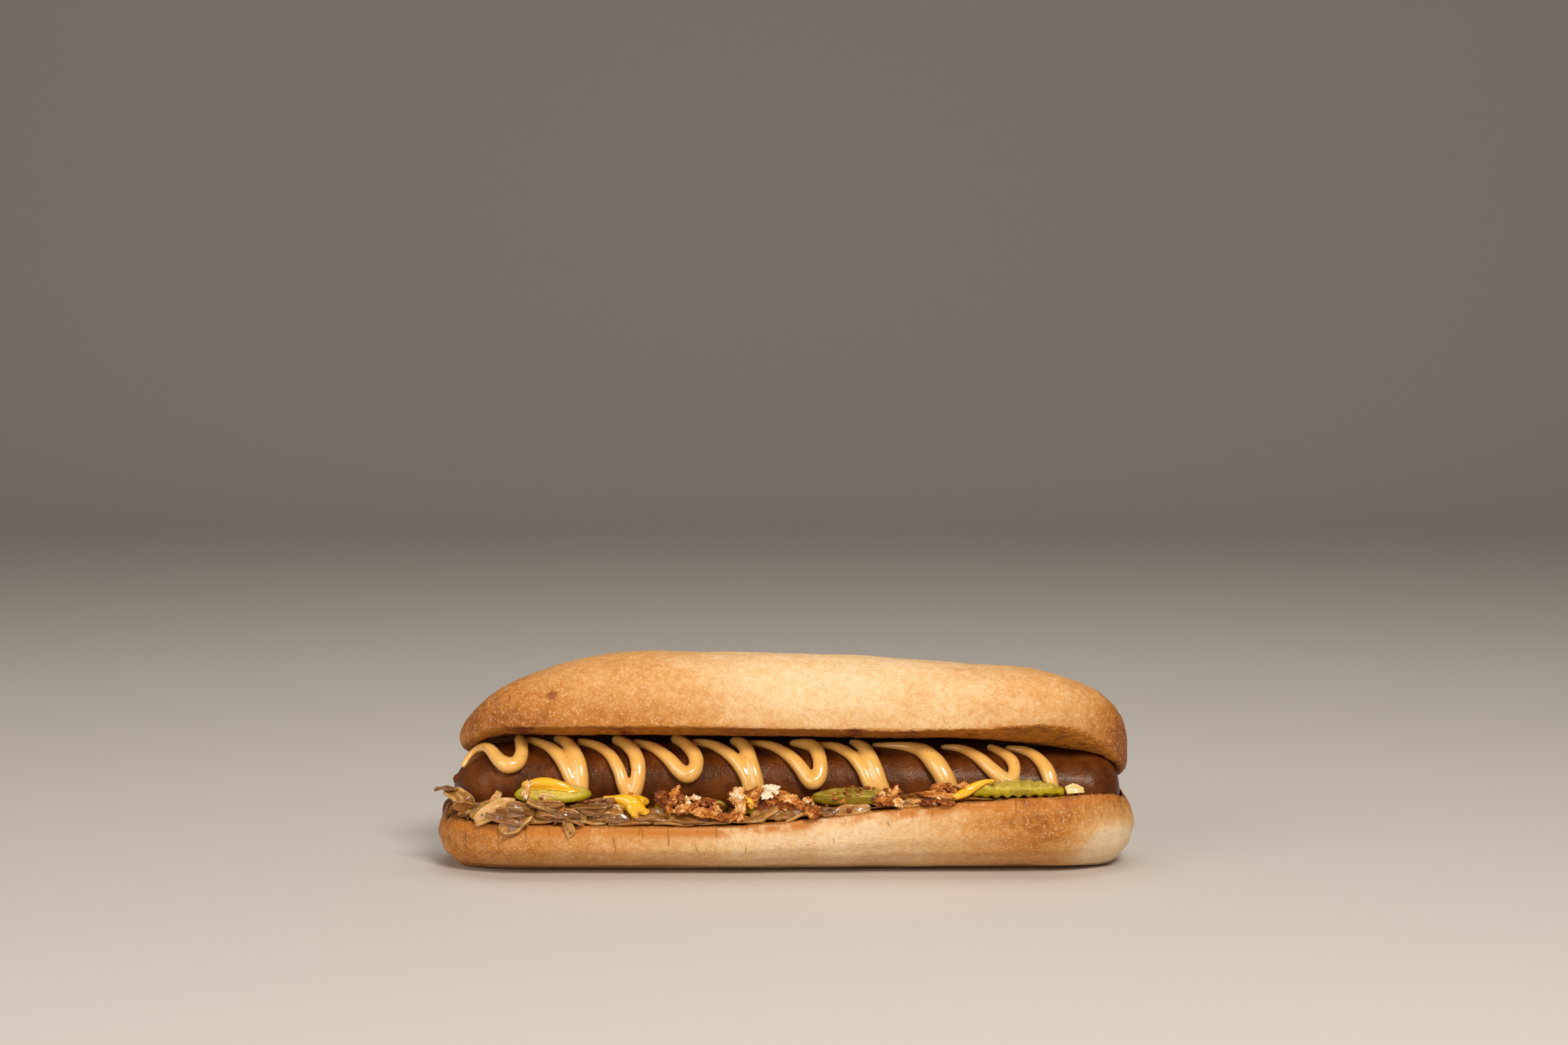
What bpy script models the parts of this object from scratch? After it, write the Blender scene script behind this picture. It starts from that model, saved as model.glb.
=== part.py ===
"""A loaded hot dog: a long bun hinged along its back, a sausage with a zigzag of thick sauce, pickle
slices, soft fried onions and crispy fried onions. Metres, +Z up. +X runs along the bun and -Y is its
open side. The origin lies on the surface that the bun rests on, under the middle of its box."""

import math
import random

import bmesh
import bpy
from mathutils import Euler, Matrix, Vector, noise

MM = 0.001
GAP = 0.35 * MM  # kept clear between two pieces that lie against each other

# Bun, lower half
BASE_LEFT = -113.6 * MM  # of the lip; the side swells past it
BASE_RIGHT = 113.8 * MM
BASE_HALF_WIDTH = 32.0 * MM
BASE_BULGE = 2.5 * MM  # how far the side swells below its lip
BASE_BULGE_RIGHT = 3.0 * MM  # and at the right tip
BASE_LIP_LEFT = 17.4 * MM
BASE_LIP_RIGHT = 27.4 * MM
BASE_LIP_RIGHT_TIP = 20.0 * MM
BASE_BACK_HEIGHT = 30.5 * MM

# Bun, upper half
CROWN_LEFT = -108.5 * MM
CROWN_RIGHT = 114.0 * MM
CROWN_MIDDLE_Y = 1.0 * MM
CROWN_HALF_WIDTH = 31.0 * MM
CROWN_HEIGHT = 70.0 * MM
CROWN_HIGHEST_X = -32.0 * MM
CROWN_FALL = 0.44 / 1000 / MM  # how its top line curves down away from the highest point
CROWN_LIP_HEIGHT = 48.6 * MM
CROWN_BACK_HEIGHT = 35.0 * MM
CROWN_LEFT_TIP_HEIGHT = 40.5 * MM
CROWN_RIGHT_TIP_HEIGHT = 34.5 * MM
UNDERSIDE_DROOP = 1.6 * MM

# Hinge of bread that joins the halves along the back
HINGE_LEFT = -99.0 * MM
HINGE_RIGHT = 101.0 * MM
HINGE_THICKNESS = 9.0 * MM
HINGE_HEIGHT = 32.0 * MM
HINGE_MIDDLE = 32.5 * MM

# Sausage
SAUSAGE_LEFT = -109.0 * MM
SAUSAGE_RIGHT = 110.0 * MM
SAUSAGE_RADIUS = 14.0 * MM
SAUSAGE_Y = -6.0 * MM
SAUSAGE_HEIGHT = 26.9 * MM  # of its axis
SAUSAGE_DIP = 2.2 * MM  # how much lower its right end lies
KNOT_RADIUS = 2.2 * MM

# Sauce: each strand's points over the sausage, by their mm along the bun, their angle from the
# sausage's top towards the open side (degrees) and the strand's radius there (mm)
SAUCE = (
    ((-105.6, 24, 0.9), (-103.4, 4, 1.1), (-99.8, 14, 1.4), (-96.4, 32, 1.9), (-93.2, 51, 2.4),
     (-90.2, 59, 2.7), (-87.2, 55, 2.4), (-86.0, 38, 2.2), (-87.3, 8, 1.8)),
    ((-84.5, 2, 1.2), (-79.4, 20, 1.5), (-75.6, 36, 2.0), (-72.0, 56, 2.3), (-69.6, 76, 2.3), (-67.8, 97, 2.3)),
    ((-75.0, 3, 1.5), (-71.1, 26, 2.2), (-68.3, 46, 2.4), (-66.6, 66, 2.4), (-66.2, 95, 2.4)),
    ((-67.2, 12, 1.3), (-61.9, 24, 1.5), (-57.4, 42, 1.8), (-54.2, 64, 2.1), (-52.4, 84, 2.2),
     (-50.2, 97, 2.4), (-48.4, 84, 2.4), (-47.8, 62, 2.4), (-49.8, 38, 2.3), (-55.4, 9, 1.7)),
    ((-49.4, 14, 1.2), (-43.4, 29, 1.7), (-38.4, 48, 2.1), (-34.4, 66, 2.5), (-31.4, 71, 2.8),
     (-29.2, 61, 2.4), (-29.8, 43, 2.3), (-36.0, 6, 1.7)),
    ((-30.0, 11, 1.1), (-24.7, 21, 1.5), (-19.6, 38, 1.9), (-15.2, 57, 2.2), (-12.6, 74, 2.2), (-11.4, 92, 2.2)),
    ((-16.8, 12, 1.5), (-13.4, 31, 2.3), (-11.2, 56, 2.4), (-9.6, 76, 2.4), (-8.9, 92, 2.3)),
    ((-11.4, 12, 1.0), (-4.6, 25, 1.5), (1.2, 45, 2.0), (4.7, 61, 2.3), (7.2, 75, 2.5), (9.3, 79, 2.8),
     (11.2, 70, 2.4), (11.1, 50, 2.4), (8.8, 29, 2.2), (2.4, 15, 1.1)),
    ((9.8, 18, 1.0), (15.6, 25, 1.4), (21.0, 42, 1.9), (25.1, 63, 2.2), (28.4, 92, 2.3)),
    ((22.0, 14, 1.2), (26.0, 36, 2.2), (29.2, 63, 2.4), (31.9, 92, 2.4)),
    ((29.0, 18, 0.8), (36.9, 22, 1.3), (42.6, 31, 2.0), (46.2, 43, 2.8), (50.7, 66, 3.3), (53.6, 88, 3.1)),
    ((51.6, 18, 0.8), (56.9, 23, 1.3), (62.4, 40, 1.9), (66.8, 58, 2.3), (70.4, 70, 2.5), (72.6, 74, 2.6),
     (74.4, 62, 2.0), (73.6, 43, 1.9), (67.2, 15, 1.1)),
    ((73.0, 15, 1.0), (78.6, 24, 1.5), (82.6, 41, 2.0), (85.4, 61, 2.4), (86.7, 84, 2.4)),
)
STRAND_SINK = 0.8 * MM  # how far a strand settles onto the sausage

# The middle of each topping below is given in mm along the bun, out from the lower half's front lip
# (so inwards is negative) and up.

# Pickle slices: middle, half length, half width, thickness (mm), lean and turn (degrees), ripples
PICKLES = {
    "pickle_1": ((-75.2, -5.2, 27.0), 12.9, 5.2, 3.4, 26, 3, 0),
    "pickle_2": ((-30.5, -5.8, 22.9), 12.3, 5.4, 3.4, 14, 2, 0),
    "pickle_3": ((-10.5, -5.6, 23.0), 5.2, 5.0, 3.2, 22, 0, 0),
    "pickle_4": ((22.6, -5.2, 26.0), 15.2, 4.7, 4.2, 12, -2, 0),
    "pickle_5": ((74.4, -5.0, 28.5), 15.8, 4.9, 4.2, 12, -2, 22),
}

# Soft onions: a bed that fills the gap in front of the sausage
BED_LEFT = -106.0 * MM
BED_RIGHT = 97.0 * MM
BED_INWARD = 6.2 * MM  # its middle line, in from the bun's lip
BED_HALF_WIDTH = 5.6 * MM
BED_HALF_HEIGHT = 4.4 * MM
BED_RISE = 0.2 * MM  # its middle line, over the bun's lip; it sinks towards the right
BED_SINK = 2.6 * MM

# Petals on the bed: middle (mm), length, width, thickness (mm), lean, pitch and turn (degrees), curl
PETALS = (
    ((-105.6, -2.6, 23.2), 13.0, 5.4, 1.4, 38, 42, -16, 1.9),
    ((-110.0, -1.2, 20.6), 9.0, 2.4, 1.3, 16, -55, 20, 2.2),
    ((-93.8, -1.6, 21.6), 15.0, 5.0, 1.4, 58, -26, 4, 0.6),
    ((-93.6, -3.4, 25.2), 5.0, 3.2, 1.2, 66, -62, 0, 0.5),
    ((-86.6, 0.9, 18.8), 12.0, 7.2, 1.3, 70, -36, 0, 0.4),
    ((-77.0, -1.0, 24.4), 7.4, 6.6, 1.5, 74, 24, 0, 0.4),
    ((-76.0, -0.6, 20.2), 16.0, 4.6, 1.5, 58, -7, 2, 0.4),
    ((-60.3, -1.6, 22.2), 16.4, 4.4, 1.6, 50, 2, 0, 0.5),
    ((-69.4, 1.2, 16.4), 5.4, 3.6, 1.3, 80, 78, 0, 0.4),
    ((-56.2, -0.8, 19.6), 12.6, 3.8, 1.6, 54, 4, 0, 0.4),
    ((-41.5, -1.4, 20.2), 14.0, 4.6, 1.6, 50, 4, 2, 0.5),
    ((-30.0, -0.8, 19.4), 13.0, 3.8, 1.5, 46, 2, 0, 0.4),
    ((-7.0, -1.0, 21.2), 9.4, 4.8, 1.4, 58, -24, 0, 0.5),
    ((4.4, -0.8, 22.0), 11.0, 3.6, 1.4, 56, -32, 0, 0.5),
    ((-1.0, -1.6, 20.6), 9.0, 4.0, 1.5, 50, 0, 0, 0.4),
    ((21.2, -1.4, 22.0), 12.6, 4.2, 1.4, 60, -7, 0, 0.3),
    ((13.6, -1.0, 21.4), 6.0, 3.6, 1.5, 55, 0, 0, 0.4),
    ((40.6, -1.8, 24.0), 9.0, 3.2, 1.4, 46, -6, 2, 0.5),
)

# One petal lies alone at the right end, given in the same way.
LONE_PETAL = ((93.4, -2.6, 28.0), 6.6, 4.4, 1.2, 66, 6, 8, 0.5)

# Crispy onions: for each heap its core's middle and half sizes (mm), its fall to the right, how many
# shards stand on it, and the seed of their draw
HEAPS = {
    "crispy_onions_1": ((-31.0, -2.6, 24.2), (11.5, 2.6, 3.2), 0.06, 9, 31),
    "crispy_onions_2": ((-4.5, -2.6, 24.8), (14.5, 2.8, 3.8), 0.16, 12, 47),
    "crispy_onions_3": ((34.0, -3.6, 27.2), (4.2, 2.4, 2.6), 0.0, 3, 12),
    "crispy_onions_4": ((50.8, -3.8, 26.6), (8.2, 2.8, 2.4), -0.04, 7, 25),
}
SHARD_LENGTH = 8.0 * MM
SHARD_WIDTH = 3.6 * MM
SHARD_THICKNESS = 1.7 * MM

# Thick mustard: the piece that carries each blob, its middle and half sizes (mm)
MUSTARD = (
    ("pickle_1", (-78.6, -6.8, 29.8), (7.2, 3.0, 1.6)),
    ("onions", (-49.6, -4.6, 24.2), (6.0, 2.8, 2.6)),
    ("crispy_onions_4", (59.4, -3.8, 27.8), (5.0, 2.4, 1.9)),
)

COLOURS = {
    "bun": ((0.62, 0.36, 0.15), 0.75),
    "sausage": ((0.13, 0.04, 0.018), 0.35),
    "pickle": ((0.22, 0.24, 0.03), 0.30),
    "onions": ((0.35, 0.19, 0.07), 0.25),
    "onion_petal": ((0.62, 0.48, 0.28), 0.25),
    "crispy_onions": ((0.42, 0.16, 0.04), 0.60),
}


# ---------------------------------------------------------------- sums that shape the forms


def mix(a, b, share):
    return a + (b - a) * share


def smoothstep(low, high, value):
    t = min(max((value - low) / (high - low), 0.0), 1.0)
    return t * t * (3.0 - 2.0 * t)


def hill(value, middle, spread):
    return math.exp(-(((value - middle) / spread) ** 2))


def end_rise(distance, length, power):
    """0 at an end, rising like a rounded shoulder to 1 at this length from it."""
    t = min(max(distance / length, 0.0), 1.0)
    return (1.0 - (1.0 - t) ** 2) ** power


def rounded(value, boxiness):
    """A sine or cosine bent so that a circle becomes a fuller, boxier curve."""
    return math.copysign(abs(value) ** (2.0 / boxiness), value)


def ends(x, left, right, left_length, right_length, power):
    return end_rise(x - left, left_length, power) * end_rise(right - x, right_length, power)


# ---------------------------------------------------------------- scene and mesh helpers


def clear_scene():
    for old in list(bpy.data.objects):
        bpy.data.objects.remove(old, do_unlink=True)


def new_collection(name):
    collection = bpy.data.collections.new(name)
    bpy.context.scene.collection.children.link(collection)
    return collection


def principled(name, colour, roughness):
    material = bpy.data.materials.new(name)
    material.use_nodes = True
    shader = material.node_tree.nodes["Principled BSDF"]
    shader.inputs["Base Color"].default_value = (*colour, 1.0)
    shader.inputs["Roughness"].default_value = roughness
    shader.inputs["Metallic"].default_value = 0.0
    return material


def object_from(bm, name, collection, grow=0.0):
    """Makes the object, with its whole surface moved outwards by grow."""
    bmesh.ops.recalc_face_normals(bm, faces=bm.faces)
    if bm.calc_volume(signed=True) < 0.0:
        bmesh.ops.reverse_faces(bm, faces=bm.faces)
    bm.normal_update()
    for vertex, step in [(v, v.normal * grow * v.calc_shell_factor()) for v in bm.verts if grow]:
        vertex.co += step
    mesh = bpy.data.meshes.new(name)
    bm.to_mesh(mesh)
    bm.free()
    obj = bpy.data.objects.new(name, mesh)
    collection.objects.link(obj)
    return obj


def swept_body(name, left, right, section, rings, sides, collection, grow=0.0):
    """A closed body whose rings, from its left tip to its right one, are section(x, angle)."""
    bm = bmesh.new()
    bmesh.ops.create_uvsphere(bm, u_segments=sides, v_segments=rings, radius=1.0)
    for vertex in bm.verts:
        across, up, along = vertex.co
        x = mix(left, right, 0.5 * (1.0 + along))
        vertex.co = section(x, math.atan2(up, across))
    return object_from(bm, name, collection, grow)


def evaluated_mesh(obj, name):
    graph = bpy.context.evaluated_depsgraph_get()
    mesh = bpy.data.meshes.new_from_object(obj.evaluated_get(graph))
    mesh.transform(obj.matrix_world)
    mesh.name = name
    return mesh


def replace_mesh(obj, mesh):
    """Gives obj a finished mesh in world coordinates, and drops its modifiers."""
    obj.modifiers.clear()
    obj.matrix_world = Matrix()
    obj.data = mesh


def combine(obj, others, operation, solver="EXACT"):
    """One Boolean with all the others, applied. The others are removed."""
    if not others:
        return
    helpers = bpy.data.collections.new("helpers")
    bpy.context.scene.collection.children.link(helpers)
    for other in others:
        for owner in list(other.users_collection):
            owner.objects.unlink(other)
        helpers.objects.link(other)
    modifier = obj.modifiers.new(operation.title(), "BOOLEAN")
    modifier.operation = operation
    modifier.operand_type = "COLLECTION"
    modifier.collection = helpers
    modifier.solver = solver
    bpy.context.view_layer.update()
    replace_mesh(obj, evaluated_mesh(obj, obj.name))
    for other in others:
        bpy.data.objects.remove(other, do_unlink=True)
    bpy.data.collections.remove(helpers)


def signed_volume(faces):
    total = 0.0
    for face in faces:
        corners = [vertex.co for vertex in face.verts]
        for second, third in zip(corners[1:], corners[2:]):
            total += corners[0].dot(second.cross(third)) / 6.0
    return total


def keep_largest(obj):
    """Drops loose scraps, and the inner walls of hollows that fusing sealed."""
    bm = bmesh.new()
    bm.from_mesh(obj.data)
    waiting = set(bm.faces)
    shells = []
    while waiting:
        front = [waiting.pop()]
        shell = set(front)
        while front:
            face = front.pop()
            for edge in face.edges:
                for neighbour in edge.link_faces:
                    if neighbour in waiting:
                        waiting.discard(neighbour)
                        shell.add(neighbour)
                        front.append(neighbour)
        shells.append(shell)
    shells.sort(key=signed_volume)
    scraps = [face for shell in shells[:-1] for face in shell]
    bmesh.ops.delete(bm, geom=scraps, context="FACES")
    bm.to_mesh(obj.data)
    bm.free()


def smooth_shading(obj, degrees=40.0):
    obj.data.shade_smooth()
    obj.data.set_sharp_from_angle(angle=math.radians(degrees))


# ---------------------------------------------------------------- bun


def base_lip(x):
    """Height of the lower half's front lip, which climbs to the right and falls to its right tip."""
    lip = mix(BASE_LIP_LEFT, BASE_LIP_RIGHT, smoothstep(-30 * MM, 95 * MM, x))
    lip += 0.35 * MM * math.sin(x / (17 * MM))
    return mix(BASE_LIP_RIGHT_TIP, lip, end_rise(BASE_RIGHT - x, 14 * MM, 0.6))


def base_back(x):
    """Height of the lower half's back edge, which meets the lip at both tips."""
    tip = base_lip(BASE_LEFT if x < 0.0 else BASE_RIGHT)
    return mix(tip, BASE_BACK_HEIGHT, ends(x, BASE_LEFT, BASE_RIGHT, 22 * MM, 22 * MM, 0.6))


def base_half_width(x):
    return BASE_HALF_WIDTH * ends(x, BASE_LEFT, BASE_RIGHT, 31 * MM, 30 * MM, 0.5)


def base_floor(x):
    """Height of its underside: flat, and rounding up to the lip at both tips."""
    return base_lip(x) * (1.0 - ends(x, BASE_LEFT, BASE_RIGHT, 8 * MM, 8 * MM, 0.5))


def base_section(x, angle):
    across, up = math.cos(angle), math.sin(angle)
    edge = rounded(across, 2.5)
    half_width = base_half_width(x)
    lip = mix(base_back(x), base_lip(x), 0.5 * (1.0 - edge))
    y = half_width * edge
    if up >= 0.0:
        under_sausage = sausage_height(x) - sausage_radius(x) - 0.6 * MM
        lip_over_it = mix(base_back(x), base_lip(x), 0.5 - 0.5 * SAUSAGE_Y / BASE_HALF_WIDTH)
        depth = max(lip_over_it - under_sausage, 0.0)
        return x, y, lip - depth * smoothstep(0.0, 0.55, 1.0 - abs(edge))
    drop = rounded(-up, 2.7)
    z = max(mix(lip, base_floor(x) - 1.2 * MM, drop), base_floor(x))
    depth = 1.0 - z / lip
    swell = 4.0 * depth * (1.0 - depth)
    y += math.copysign(BASE_BULGE * swell * half_width / BASE_HALF_WIDTH, edge)
    at_tips = BASE_BULGE_RIGHT * hill(x, BASE_RIGHT, 11 * MM) - BASE_BULGE * hill(x, BASE_LEFT, 11 * MM)
    return x + swell * at_tips, y, z


def crown_lip(x):
    """Height of the upper half's front lip, which sags in the middle and lifts near the right end."""
    lip = CROWN_LIP_HEIGHT
    lip -= 1.4 * MM * hill(x, 30 * MM, 30 * MM)
    lip += 3.3 * MM * hill(x, 89 * MM, 17 * MM)
    lip += 0.2 * MM * math.sin(x / (11 * MM))
    lip = mix(CROWN_LEFT_TIP_HEIGHT, lip, end_rise(x - CROWN_LEFT, 20 * MM, 0.55))
    return mix(CROWN_RIGHT_TIP_HEIGHT, lip, end_rise(CROWN_RIGHT - x, 16 * MM, 0.5))


def crown_top(x):
    top = CROWN_HEIGHT - CROWN_FALL * (x - CROWN_HIGHEST_X) ** 2
    top = mix(CROWN_LEFT_TIP_HEIGHT, top, end_rise(x - CROWN_LEFT, 60 * MM, 0.6))
    return mix(CROWN_RIGHT_TIP_HEIGHT, top, end_rise(CROWN_RIGHT - x, 40 * MM, 0.35))


def crown_half_width(x):
    return CROWN_HALF_WIDTH * ends(x, CROWN_LEFT, CROWN_RIGHT, 44 * MM, 36 * MM, 0.5)


def crown_section(x, angle):
    across, up = math.cos(angle), math.sin(angle)
    edge = rounded(across, 2.2)
    towards_front = 0.5 * (1.0 - edge)
    tip = mix(CROWN_LEFT_TIP_HEIGHT, CROWN_RIGHT_TIP_HEIGHT, smoothstep(-1.0, 1.0, x / (10 * MM)))
    back = mix(tip, CROWN_BACK_HEIGHT, ends(x, CROWN_LEFT, CROWN_RIGHT, 25 * MM, 25 * MM, 0.5))
    rim = mix(back, crown_lip(x), towards_front)
    y = CROWN_MIDDLE_Y + crown_half_width(x) * edge
    if up >= 0.0:
        rise = crown_top(x) - 0.5 * (back + crown_lip(x))
        z = rim + max(rise, 0.0) * rounded(up, 2.35)
    else:
        droop = UNDERSIDE_DROOP * hill(y, -17 * MM, 8 * MM)
        droop += 7.0 * MM * hill(x, CROWN_LEFT, 10 * MM) + 3.0 * MM * hill(x, CROWN_RIGHT, 7 * MM)
        droop += 10.0 * MM * smoothstep(50 * MM, 112 * MM, x)
        end = ends(x, CROWN_LEFT, CROWN_RIGHT, 9 * MM, 6 * MM, 0.5)
        z = rim - droop * end * rounded(-up, 3.0)
    return x, y, z


def hinge_section(x, angle):
    across, up = math.cos(angle), math.sin(angle)
    size = ends(x, HINGE_LEFT, HINGE_RIGHT, 18 * MM, 18 * MM, 0.5)
    outside = min(CROWN_MIDDLE_Y + crown_half_width(x), base_half_width(x)) - 0.3 * MM
    half = 0.5 * HINGE_THICKNESS * size
    y = outside - half + half * rounded(across, 3.0)
    z = HINGE_MIDDLE + 0.5 * HINGE_HEIGHT * size * rounded(up, 2.6)
    return x, y, z


def bun_halves(grow, collection):
    return [
        swept_body("bun", BASE_LEFT, BASE_RIGHT, base_section, 28, 26, collection, grow),
        swept_body("crown", CROWN_LEFT, CROWN_RIGHT, crown_section, 28, 28, collection, grow),
    ]


def make_bun(collection):
    base, crown = bun_halves(0.0, collection)
    hinge = swept_body("hinge", HINGE_LEFT, HINGE_RIGHT, hinge_section, 12, 10, collection)
    combine(base, [crown, hinge], "UNION")
    combine(base, sausage_parts(GAP, collection), "DIFFERENCE", "MANIFOLD")
    keep_largest(base)
    smooth_shading(base)
    return base


# ---------------------------------------------------------------- sausage and sauce


def sausage_radius(x):
    left = end_rise(x - SAUSAGE_LEFT, 16 * MM, 0.7)
    right = end_rise(SAUSAGE_RIGHT - x, 12 * MM, 0.42)
    crease = 1.0 - 0.035 * hill(x, -95 * MM, 1.6 * MM)
    return SAUSAGE_RADIUS * left * right * crease


def sausage_height(x):
    return SAUSAGE_HEIGHT - SAUSAGE_DIP * smoothstep(25 * MM, 100 * MM, x)


def sausage_y(x):
    return SAUSAGE_Y - 1.2 * MM * (x / SAUSAGE_RIGHT) ** 2


def on_sausage(x, degrees, lift):
    """The point at this angle round the sausage, from its top towards the bun's open side."""
    reach = sausage_radius(x) + lift
    angle = math.radians(degrees)
    return Vector((x, sausage_y(x) - reach * math.sin(angle), sausage_height(x) + reach * math.cos(angle)))


def sausage_section(x, angle):
    reach = sausage_radius(x)
    return x, sausage_y(x) + reach * math.cos(angle), sausage_height(x) + reach * math.sin(angle)


def tube(name, points, radii, collection, grow):
    """A round strand through the points, with closed ends."""
    curve = bpy.data.curves.new(name, "CURVE")
    curve.dimensions = "3D"
    curve.bevel_depth = 1.0
    curve.bevel_resolution = 1
    curve.use_fill_caps = True
    spline = curve.splines.new("POLY")
    spline.points.add(len(points) - 1)
    for target, point, radius in zip(spline.points, points, radii):
        target.co = (*point, 1.0)
        target.radius = radius
    guide = bpy.data.objects.new(name, curve)
    collection.objects.link(guide)
    bpy.context.view_layer.update()
    mesh = evaluated_mesh(guide, name)
    bpy.data.objects.remove(guide, do_unlink=True)
    bm = bmesh.new()
    bm.from_mesh(mesh)
    bpy.data.meshes.remove(mesh)
    bmesh.ops.remove_doubles(bm, verts=bm.verts, dist=1e-6)
    return object_from(bm, name, collection, grow)


def strand(name, route, grow, collection):
    """A strand through (x, degrees, radius) points, laid on the sausage, with softened ends."""
    points = [on_sausage(x, degrees, max(radius - STRAND_SINK, 0.0)) for x, degrees, radius in route]
    radii = [radius for _, _, radius in route]
    for place in (0, -1):
        onwards = (points[place] - points[1 if place == 0 else -2]).normalized()
        points.insert(place and len(points), points[place] + 0.75 * radii[place] * onwards)
        radii.insert(place and len(radii), 0.5 * radii[place])
    return tube(name, points, radii, collection, grow)


def smooth_route(anchors, steps):
    """Points along a smooth curve through a few anchors."""
    route = []
    last = len(anchors) - 1
    for index in range(last):
        before = anchors[max(index - 1, 0)]
        start, end = anchors[index], anchors[index + 1]
        after = anchors[min(index + 2, last)]
        for step in range(steps):
            t = step / steps
            point = []
            for p0, p1, p2, p3 in zip(before, start, end, after):
                slope = (p2 - p0) * t + (2 * p0 - 5 * p1 + 4 * p2 - p3) * t * t
                point.append(p1 + 0.5 * (slope + (3 * p1 - p0 - 3 * p2 + p3) * t**3))
            route.append(tuple(point))
    route.append(tuple(anchors[-1]))
    return route


def sauce_strands(grow, collection):
    strands = []
    for anchors in SAUCE:
        route = [(x * MM, degrees, radius * MM) for x, degrees, radius in smooth_route(anchors, 2)]
        strands.append(strand("strand", route, grow, collection))
    return strands


def knot(grow, collection):
    """The twisted nub that closes the sausage's left end."""
    bm = bmesh.new()
    place = Matrix.Translation((SAUSAGE_LEFT + 1.6 * MM, sausage_y(SAUSAGE_LEFT), SAUSAGE_HEIGHT + 1.5 * MM))
    bmesh.ops.create_icosphere(bm, subdivisions=2, radius=KNOT_RADIUS, matrix=place)
    return object_from(bm, "knot", collection, grow)


def sausage_parts(grow, collection):
    body = swept_body(
        "sausage", SAUSAGE_LEFT, SAUSAGE_RIGHT, sausage_section, 26, 18, collection, grow
    )
    return [body, knot(grow, collection), *sauce_strands(grow, collection)]


def make_sausage(collection):
    body, *others = sausage_parts(0.0, collection)
    combine(body, others, "UNION", "MANIFOLD")
    keep_largest(body)
    smooth_shading(body)
    return body


# ---------------------------------------------------------------- toppings


def from_lip(middle):
    """World place of a middle given along the bun, out from the lower half's front lip, and up."""
    along, outwards, up = middle
    return Vector((along * MM, -base_half_width(along * MM) - outwards * MM, up * MM))


def pickle_body(name, values, grow, collection):
    """An oval slice with soft rims, bent a little, its lower side hollowed by the bend."""
    middle, half_length, half_width, thickness, lean, turn, ripples = values
    bm = bmesh.new()
    bmesh.ops.create_uvsphere(bm, u_segments=24, v_segments=6, radius=1.0)
    for vertex in bm.verts:
        out = math.hypot(vertex.co.x, vertex.co.y)
        around = math.atan2(vertex.co.y, vertex.co.x)
        reach = rounded(out, 5.0) * (1.0 + 0.035 * math.sin(3.0 * around + half_length))
        reach += 0.03 * math.cos(ripples * around) if ripples and out > 0.5 else 0.0
        x = half_length * MM * reach * math.cos(around)
        y = half_width * MM * reach * math.sin(around)
        z = 0.5 * thickness * MM * rounded(vertex.co.z, 3.2)
        z -= 0.9 * MM * (x / (half_length * MM)) ** 2
        vertex.co = (x, y, z)
    turned = Euler((math.radians(lean), 0.0, math.radians(turn))).to_matrix().to_4x4()
    bm.transform(Matrix.Translation(from_lip(middle)) @ turned)
    return object_from(bm, name, collection, grow)


def blob(name, middle, half_sizes, grow, seed, collection, roughness=0.16, fall=0.0):
    """A soft uneven lump, which falls this steeply to the right."""
    bm = bmesh.new()
    bmesh.ops.create_icosphere(bm, subdivisions=2, radius=1.0)
    for vertex in bm.verts:
        wave = 1.0 + roughness * noise.noise(vertex.co * 1.7 + Vector((seed, 2.3 * seed, 0.7)))
        vertex.co = Vector([c * wave * size * MM for c, size in zip(vertex.co, half_sizes)])
        vertex.co.z -= fall * vertex.co.x
    bm.transform(Matrix.Translation(from_lip(middle)))
    return object_from(bm, name, collection, grow)


def mustard_on(carrier, grow, collection):
    found = [entry for entry in MUSTARD if entry[0] == carrier]
    return [blob("mustard", entry[1], entry[2], grow, 5.0, collection) for entry in found]


def wavy_strip(name, place, length, width, thickness, curl, seed, segments, grow, collection):
    """A thin strip bent along its length, its two faces split into triangles alike."""
    bm = bmesh.new()
    bmesh.ops.create_grid(bm, x_segments=segments, y_segments=2 if segments > 4 else 1, size=0.5)
    bmesh.ops.triangulate(bm, faces=bm.faces)
    for vertex in bm.verts:
        along, aside = vertex.co.x, vertex.co.y
        ruffle = noise.noise(Vector((3.0 * along + seed, 2.0 * aside, seed)))
        taper = 1.0 - 0.55 * abs(2.0 * along) ** 2.5
        bend = curl * length * (0.25 - along * along)
        vertex.co = (
            length * along,
            width * aside * taper + 0.12 * width * ruffle,
            bend + 0.22 * width * ruffle + 0.35 * width * aside * aside,
        )
    bmesh.ops.recalc_face_normals(bm, faces=bm.faces)
    bmesh.ops.solidify(bm, geom=list(bm.verts) + list(bm.edges) + list(bm.faces), thickness=thickness)
    shift = sum((vertex.co for vertex in bm.verts), Vector()) / len(bm.verts)
    bmesh.ops.translate(bm, vec=-shift, verts=bm.verts)
    bm.transform(place)
    return object_from(bm, name, collection, grow)


def placed(middle, lean, pitch, turn):
    turned = Euler([math.radians(angle) for angle in (lean, pitch, turn)]).to_matrix().to_4x4()
    return Matrix.Translation(from_lip(middle)) @ turned


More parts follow.
